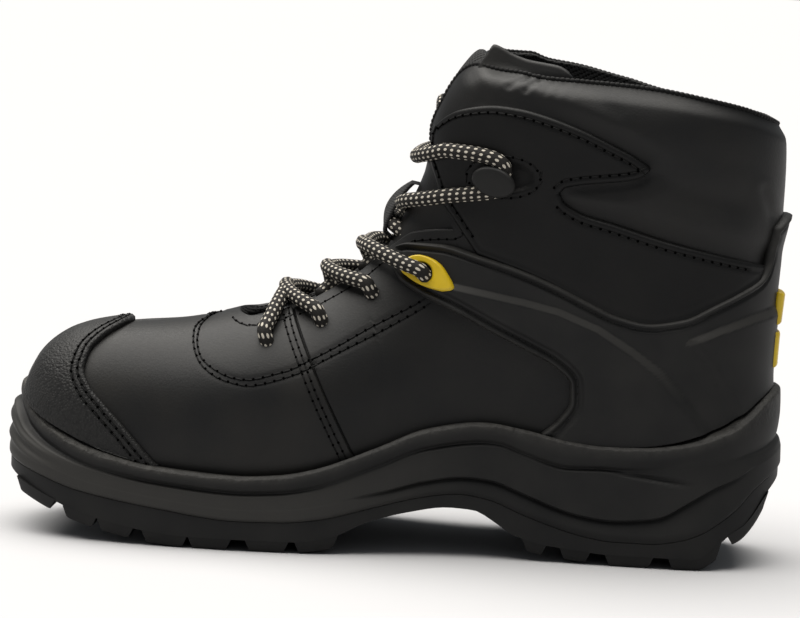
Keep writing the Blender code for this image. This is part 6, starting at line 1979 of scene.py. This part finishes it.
@dataclass(frozen=True)
class Lacing:
    """Round braided lace through the eyelets, the loop and round the hooks, with hooks and yellow trims."""

    radius: float = 2.8
    sides: int = 27
    press: float = 0.4
    cross_lift: tuple = (-0.3, 0.9)
    dive_depth: tuple = (1.4, 4, 7)
    dive_along: tuple = (1.2, 1.9, 2.2)
    hook_low: tuple = (-17, -7.3)
    hook_top: tuple = (-18, 10.2)
    step: float = 0.6
    rows_round: int = 9
    fleck_pitch: float = 2.95
    knuckle: float = 0.10
    counter_top: float = 2.4
    panel_top: float = 1.5
    hook: tuple = (189, 145.8)
    hook_cap: tuple = (8.6, 5.7)
    hook_tilt: float = -15.0
    hook_post: float = 2.6
    hook_dome: tuple = (
        (1, 1.1), (0.985, 1.5), (0.95, 1.9), (0.9, 2.2), (0.82, 2.4), (0.6, 2.55), (0.3, 2.6),
    )
    hook_high: float = 6.0
    hook_seat: float = -0.9
    hook_turn: tuple = (
        (-3, -4.6), (0.7, -3.4), (2.6, -0.6), (3, 3), (3, 6.2), (-0.4, 8.6), (-5.8, 9.8), (-12, 10.2),
    )
    hook_lift: tuple = (3, 2.3, 2.3, 2.6, 3.4, 3.9, 3.9, 3.9)
    eyelets: Table = Table("ridge_x down", ((99.2, 11), (117.6, 10), (134.6, 10.8), (147, 20)))
    crossings: tuple = (108.5, 125, 139)
    under_x: tuple = (119, 135, 145.5)
    under_half: float = 11.0
    under_lift: float = -3.6
    bend: float = 1.6
    lift_share: float = 0.5
    loop_x: tuple = (148.4, 152.4)
    loop_lift: float = 1.2
    loop_under: tuple = (154.5, 119.5, -5.5)
    bar_x: float = 159.2
    end_x: float = 164.5
    end_low: tuple = (178, 153)
    tail_line: tuple = ((163.6, 167, 170), (168, 173.5, 177))
    tail_lift: tuple = (-3.6, -5.4, -7)
    trim_outline: tuple = (
        (154.8, 108), (156.4, 112.2), (160.4, 114.6), (164.6, 114.6), (168.9, 112.8), (172, 109.4),
        (175, 103.6), (171.6, 102), (166.2, 102.6), (161, 104), (157.2, 106),
    )
    trim_hole: tuple = (163.4, 108.8, 3.2)
    trim_wall: float = 2.0
    trim_sunk: float = 1.6
    trim_edge: float = 0.22
    trim_least: float = 0.35

    def eyelet(self, number: int) -> tuple[float, float]:
        """Place of an eyelet in side view."""
        ridge_x = self.eyelets.data["ridge_x"][number]
        down = self.eyelets.data["down"][number]
        x, z, in_x, in_z = LAST.outline(ridge_x)[:4]
        return float(x + in_x * down), float(z + in_z * down)

    def half_strand(self, middle: tuple[float, float], side: Side, end: tuple[float, float, float]) -> Array:
        """Points from the middle of a crossing down to a place in side view with its lift."""
        middle_x, middle_z = [float(v) for v in LAST.outline(middle[0])[:2]]
        share = np.linspace(0.0, 1.0, 9)
        bend = share**self.bend
        lift = middle[1] + (end[2] - middle[1]) * smoothstep(0.0, self.lift_share, share)
        x, z = middle_x + (end[0] - middle_x) * bend, middle_z + (end[1] - middle_z) * bend
        return LAST.skin(x, z, side, lift)

    def dive(self, side: Side, place: tuple[float, float], lift: float) -> Array:
        """Points that lead the lace into an eyelet."""
        depth = lift - np.array(self.dive_depth)
        along = np.array(self.dive_along)
        return LAST.skin(place[0] + along * 0.5, place[1] - along, side, depth)

    def strands(self) -> list[Array]:
        """Every strand of the lace as a line of points."""
        over = self.radius
        on_arm = self.counter_top + self.trim_wall + self.radius - self.press
        made = []
        for number, ridge_x in enumerate(self.crossings):
            for order, start_side in enumerate(Side):
                end_side = Side(-start_side)
                middle = (ridge_x, over + self.cross_lift[order])
                lift = on_arm if number == 2 else over
                place = self.eyelet(number + 1)
                if number == 2:
                    place = self.trim_hole[:2]
                down = self.half_strand(middle, end_side, (*place, lift))
                down = np.vstack([down, self.dive(end_side, place, lift)])
                if number == 0:
                    first = self.eyelet(0)
                    up = self.half_strand(middle, start_side, (*first, over))
                    up = np.vstack([up, self.dive(start_side, first, over)])
                else:
                    x, z = LAST.crown(self.under_x[number - 1], self.under_half, start_side)
                    up = self.half_strand(middle, start_side, (float(x), float(z), self.under_lift))
                made.append(np.vstack([up[::-1], down[1:]]))
        made.extend(self.hook_strands(over))
        return made

    def around_hook(self, side: Side) -> Array:
        """Half turn behind the hook's cap, from its lower to its upper side."""
        x, z = self.hook
        z = z + float(LAST.collar_rise(x, z, side))
        turn = np.array(self.hook_turn)
        return LAST.skin(x + turn[:, 0], z + turn[:, 1], side, np.array(self.hook_lift))

    def hook_strands(self, over: float) -> list[Array]:
        """Strands from the last eyelets through the loop and round the hooks, and the tucked end."""
        lift = self.panel_top + self.radius - self.press
        made = []
        for order, start_side in enumerate(Side):
            side = Side(-start_side)
            middle = (self.loop_x[order], self.loop_lift)
            up = self.half_strand(middle, start_side, self.loop_under)
            turn = self.around_hook(side)
            low, top = ([a + b for a, b in zip(self.hook, way)] for way in (self.hook_low, self.hook_top))
            down = self.half_strand(middle, side, (*low, lift))
            bar = (self.bar_x, over)
            bar_end = (*top, lift)
            if side == Side.LATERAL:
                tail = LAST.skin(*np.array(self.tail_line), Side.MEDIAL, np.array(self.tail_lift))
                bar_up = self.half_strand((self.end_x, over - 4.0), side, (*self.end_low, over - 0.5))[::-1]
                made.append(np.vstack([up[::-1], down[1:], turn, bar_up[1:], tail]))
            else:
                back = self.half_strand(bar, side, bar_end)[::-1]
                far = self.half_strand(bar, Side.LATERAL, bar_end)
                hidden = self.around_hook(Side.LATERAL)[::-1][:6]
                made.append(np.vstack([up[::-1], down[1:], turn, back, far[1:], hidden]))
        return made

    def tube(self, points: list, faces: list, maps: list, line: Array) -> None:
        """Add one braided tube along a line, with its own map."""
        fine = polyline(line, 0.3)
        run = np.concatenate([[0.0], np.cumsum(np.linalg.norm(np.diff(fine, axis=0), axis=1))])
        places = np.linspace(0.0, run[-1], int(run[-1] / self.step) + 1)
        line = np.stack([np.interp(places, run, fine[:, axis]) for axis in range(3)], axis=1)
        for _ in range(6):
            line[1:-1] = 0.25 * line[:-2] + 0.5 * line[1:-1] + 0.25 * line[2:]
        ahead = np.gradient(line, axis=0)
        ahead /= np.linalg.norm(ahead, axis=1)[:, None]
        side = np.cross(ahead[0], (0.0, 0.0, 1.0))
        turn = 2.0 * math.pi * np.arange(self.sides) / self.sides
        first = len(points)
        for number, (point, way) in enumerate(zip(line, ahead)):
            side = side - way * (side @ way)
            side /= np.linalg.norm(side)
            other = np.cross(way, side)
            along = places[number] / self.fleck_pitch
            row = turn / (2.0 * math.pi) * self.rows_round
            shift = row / self.rows_round
            swell = np.cos(2.0 * math.pi * (along + shift - 0.5)) * np.cos(2.0 * math.pi * (row % 1.0 - 0.5))
            size = self.radius + self.knuckle * swell
            ring = np.outer(np.cos(turn) * size, side) + np.outer(np.sin(turn) * size, other)
            points.extend((point + ring).tolist())
        per_side = self.rows_round / self.sides
        for ring in range(len(line) - 1):
            low, high = first + ring * self.sides, first + (ring + 1) * self.sides
            v0, v1 = places[ring] / self.fleck_pitch, places[ring + 1] / self.fleck_pitch
            for cell in range(self.sides):
                after = (cell + 1) % self.sides
                faces.append((low + cell, low + after, high + after, high + cell))
                u0, u1 = cell * per_side, (cell + 1) * per_side
                maps.extend((u0, v0, u1, v0, u1, v1, u0, v1))
        for ring in (0, len(line) - 1):
            loop = [first + ring * self.sides + cell for cell in range(self.sides)]
            faces.append(tuple(loop if ring else loop[::-1]))
            maps.extend([0.0] * (2 * self.sides))

    def build_lace(self, finishes: Finishes) -> None:
        """All strands as one piece."""
        points, faces, maps = [], [], []
        for strand in self.strands():
            self.tube(points, faces, maps, strand)
        data = bpy.data.meshes.new("lace")
        data.from_pydata(LAST.to_row(points).tolist(), [], faces)
        layer = data.uv_layers.new(name="braid")
        layer.data.foreach_set("uv", np.array(maps, np.float32))
        data.materials.append(finishes.lace)
        settle(data)
        nodes = ["lace_crossing_" + str(number + 1) for number in range(4)] + ["lace_top_bar"]
        seat(link("lace", data), Slot.LACE, *nodes)

    def build_hook(self, side: Side, finishes: Finishes) -> None:
        """Stud with a domed cap."""
        shape = Shape()
        x, z = self.hook
        z = z + float(LAST.collar_rise(x, z, side))
        foot = LAST.skin(x, z, side, self.hook_seat)
        out = LAST.skin(x, z, side, self.hook_seat + 1.0) - foot
        along = np.cross(out, (0.0, 0.0, 1.0))
        along /= np.linalg.norm(along)
        up = np.cross(out, along)
        tilt = math.radians(self.hook_tilt)
        along, up = along * math.cos(tilt) + up * math.sin(tilt), up * math.cos(tilt) - along * math.sin(tilt)
        half_x, half_z = self.hook_cap
        post, high = self.hook_post, self.hook_high
        flange = post + 1.6
        levels = [(flange, flange, 0.0), (flange, flange, 0.5), (post, post, 1.0), (post, post, high)]
        levels += [(half_x * 0.93, half_z * 0.93, high + 0.15), (half_x, half_z, high + 0.6)]
        levels += [(half_x * reach, half_z * reach, high + rise) for reach, rise in self.hook_dome]
        turn = np.linspace(0.0, 2.0 * math.pi, 48, endpoint=False)
        rings = [
            foot + out * tall + np.outer(np.cos(turn) * wide, along) + np.outer(np.sin(turn) * deep, up)
            for wide, deep, tall in levels
        ]
        shape.pipe(shape.grid(np.array(rings)))
        seat(shape.build("lace_hook_stud_" + side.word, [finishes.hook]), Slot.HOOK, "lace_hook_" + side.word)

    def build_trim(self, side: Side, finishes: Finishes) -> None:
        """Yellow surround of the fourth eyelet, domed between its outline and its hole."""
        shape = Shape()
        hole_x, hole_z, hole = self.trim_hole
        outline = polyline(self.trim_outline, 0.5, closed=True)
        turn = np.arctan2(outline[:, 1] - hole_z, outline[:, 0] - hole_x)
        rim = np.stack([hole_x + hole * np.cos(turn), hole_z + hole * np.sin(turn)], axis=1)
        foot = self.counter_top - self.trim_sunk
        profile = [(0.0, foot)]
        for share in np.linspace(0.0, 1.0, 15):
            lift = float(dome(np.minimum(share, 1.0 - share) / self.trim_edge))
            high = self.trim_least + (1.0 - self.trim_least) * lift
            profile.append((share, self.counter_top + self.trim_wall * high))
        profile.append((1.0, foot))
        rings = []
        for share, lift in profile:
            rings.append(LAST.trace(rim * (1.0 - share) + outline * share, side, lift))
        index = shape.grid(np.array(rings))
        loop = np.vstack([index, index[:1]]).T
        shape.cover(np.vstack([loop, loop[:1]]))
        piece = shape.build("eyelet_trim_yellow_" + side.word, [finishes.yellow])
        seat(piece, Slot.YELLOW, "eyelet_trim_" + side.word)

    def build(self, finishes: Finishes) -> None:
        """Lace, hooks and trims."""
        self.build_lace(finishes)
        for side in Side:
            self.build_hook(side, finishes)
            self.build_trim(side, finishes)


@dataclass(frozen=True)
class HeelBlocks:
    """Two plain yellow blocks on the back of the counter."""

    foot: float = 1.8
    top: float = 5.0
    half: float = 9.0
    edge_round: float = 1.4
    blocks: tuple = (('upper', 93.6, 106.4), ('lower', 76.6, 91))

    def build(self, finishes: Finishes) -> None:
        """Blocks with rounded edges that follow the back of the heel."""
        full = LAST.back_fullness
        spread = (2.0 * even(30, 0.7) - 1.0) * self.half
        for name, low, high in self.blocks:
            shape = Shape()
            heights = low + (high - low) * even(18, 0.7)
            back = LAST.back.read("x", heights)
            outer, inner = [], []
            for place in spread:
                side = Side.MEDIAL if place < 0.0 else Side.LATERAL
                share = abs(place) / LAST.full_width(back, heights, side)
                depth = LAST.back.read("round", heights) * (1.0 - (1.0 - share**full) ** (1.0 / full))
                edge = np.minimum(np.minimum(heights - low, high - heights), self.half - abs(place))
                lift = self.foot + (self.top - self.foot) * (0.4 + 0.6 * dome(edge / self.edge_round))
                outer.append(LAST.skin(back - depth, heights, side, lift))
                inner.append(LAST.skin(back - depth, heights, side, self.foot))
            shape.shell(shape.grid(np.array(outer)), shape.grid(np.array(inner)))
            piece = shape.build("heel_block_yellow_" + name, [finishes.yellow])
            seat(piece, Slot.YELLOW, "heel_block_" + name)


@dataclass(frozen=True)
class Studio:
    """Pale floor, soft light and the photograph's view."""

    azimuth: float = 3.0
    elevation: float = 6.0
    roll: float = 2.7
    distance: float = 1.25
    target: tuple = (-0.0005, 0.003, 0.0903)
    lens: float = 142.06
    sensor: float = 36.0
    world: float = 0.25
    overhead: float = 7.0
    overhead_spread: float = 75.0
    overhead_way: tuple = (0.2, -0.08, -1)
    floor_half: float = 150.0

    def build(self) -> None:
        """Make floor, light and camera."""
        self.make_floor()
        self.make_light()
        self.make_camera()

    def make_floor(self) -> None:
        """Plain pale floor under the boot."""
        data = bpy.data.meshes.new("floor")
        far = self.floor_half
        square = [(-far, -far, 0.0), (far, -far, 0.0), (far, far, 0.0), (-far, far, 0.0)]
        data.from_pydata(square, [], [(0, 1, 2, 3)])
        n = Nodes("pale_floor")
        n.finish((0.43, 0.43, 0.44), 0.9, n.relief(n.noise(n.place(), 40.0), 0.02), Specular_IOR_Level=0.1)
        data.materials.append(n.material)
        floor = link("floor", data)

    def make_light(self) -> None:
        """Weak even light from all round under a wide soft light overhead."""
        scene = bpy.context.scene
        world = bpy.data.worlds.new("studio")
        scene.world = world
        world.use_nodes = True
        sky = world.node_tree.nodes["Background"]
        sky.inputs["Color"].default_value = (0.93, 0.97, 1.0, 1.0)
        sky.inputs["Strength"].default_value = self.world
        scene.view_settings.view_transform = "Standard"
        lamp = bpy.data.lights.new("overhead", "SUN")
        lamp.angle = math.radians(self.overhead_spread)
        lamp.energy = self.overhead
        lamp.color = (1.0, 0.97, 0.92)
        holder = link("overhead", lamp)
        holder.rotation_mode = "QUATERNION"
        holder.rotation_quaternion = Vector(self.overhead_way).to_track_quat("-Z", "Y")

    def make_camera(self) -> None:
        """Camera at the photograph's angle, rolled as the photograph is."""
        turn, lift, roll = (math.radians(v) for v in (self.azimuth, self.elevation, self.roll))
        back = Vector((math.sin(turn) * math.cos(lift), -math.cos(turn) * math.cos(lift), math.sin(lift)))
        right = Vector((0.0, 0.0, 1.0)).cross(back).normalized()
        up = back.cross(right)
        right, up = right * math.cos(roll) + up * math.sin(roll), up * math.cos(roll) - right * math.sin(roll)
        place = Matrix((right, up, back)).transposed().to_4x4()
        place.translation = Vector(self.target) + back * self.distance
        data = bpy.data.cameras.new("photo_camera")
        data.lens = self.lens
        data.sensor_width = self.sensor
        camera = link("photo_camera", data)
        camera.matrix_world = place
        bpy.context.scene.camera = camera


def main() -> None:
    """Dress the boot piece by piece."""
    logging.basicConfig(level=logging.INFO, format="%(name)s: %(message)s")
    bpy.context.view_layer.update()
    Studio().build()
    finishes = Finishes()
    stitches = StitchRows()
    fine = StitchRows("groove_stitches", pitch=2.7, length=2.4, radius=0.26, hole=0.32)
    binding = StitchRows("collar_binding", pitch=1.9, length=2.8, radius=1.05, hole=0.4)
    sole = Sole()
    sole.build_outsole(finishes)
    sole.build_midsole(finishes)
    sole.build_insole(finishes)
    panel = AnklePanel()
    Upper().build(finishes, stitches, binding, panel)
    ToeBumper().build(finishes, stitches)
    HeelCounter().build(finishes, fine)
    for side in Side:
        panel.build(side, finishes, stitches)
    Tongue().build(finishes)
    Lacing().build(finishes)
    HeelBlocks().build(finishes)
    for rows in (stitches, fine, binding):
        rows.build(finishes)


if __name__ == "__main__":
    main()
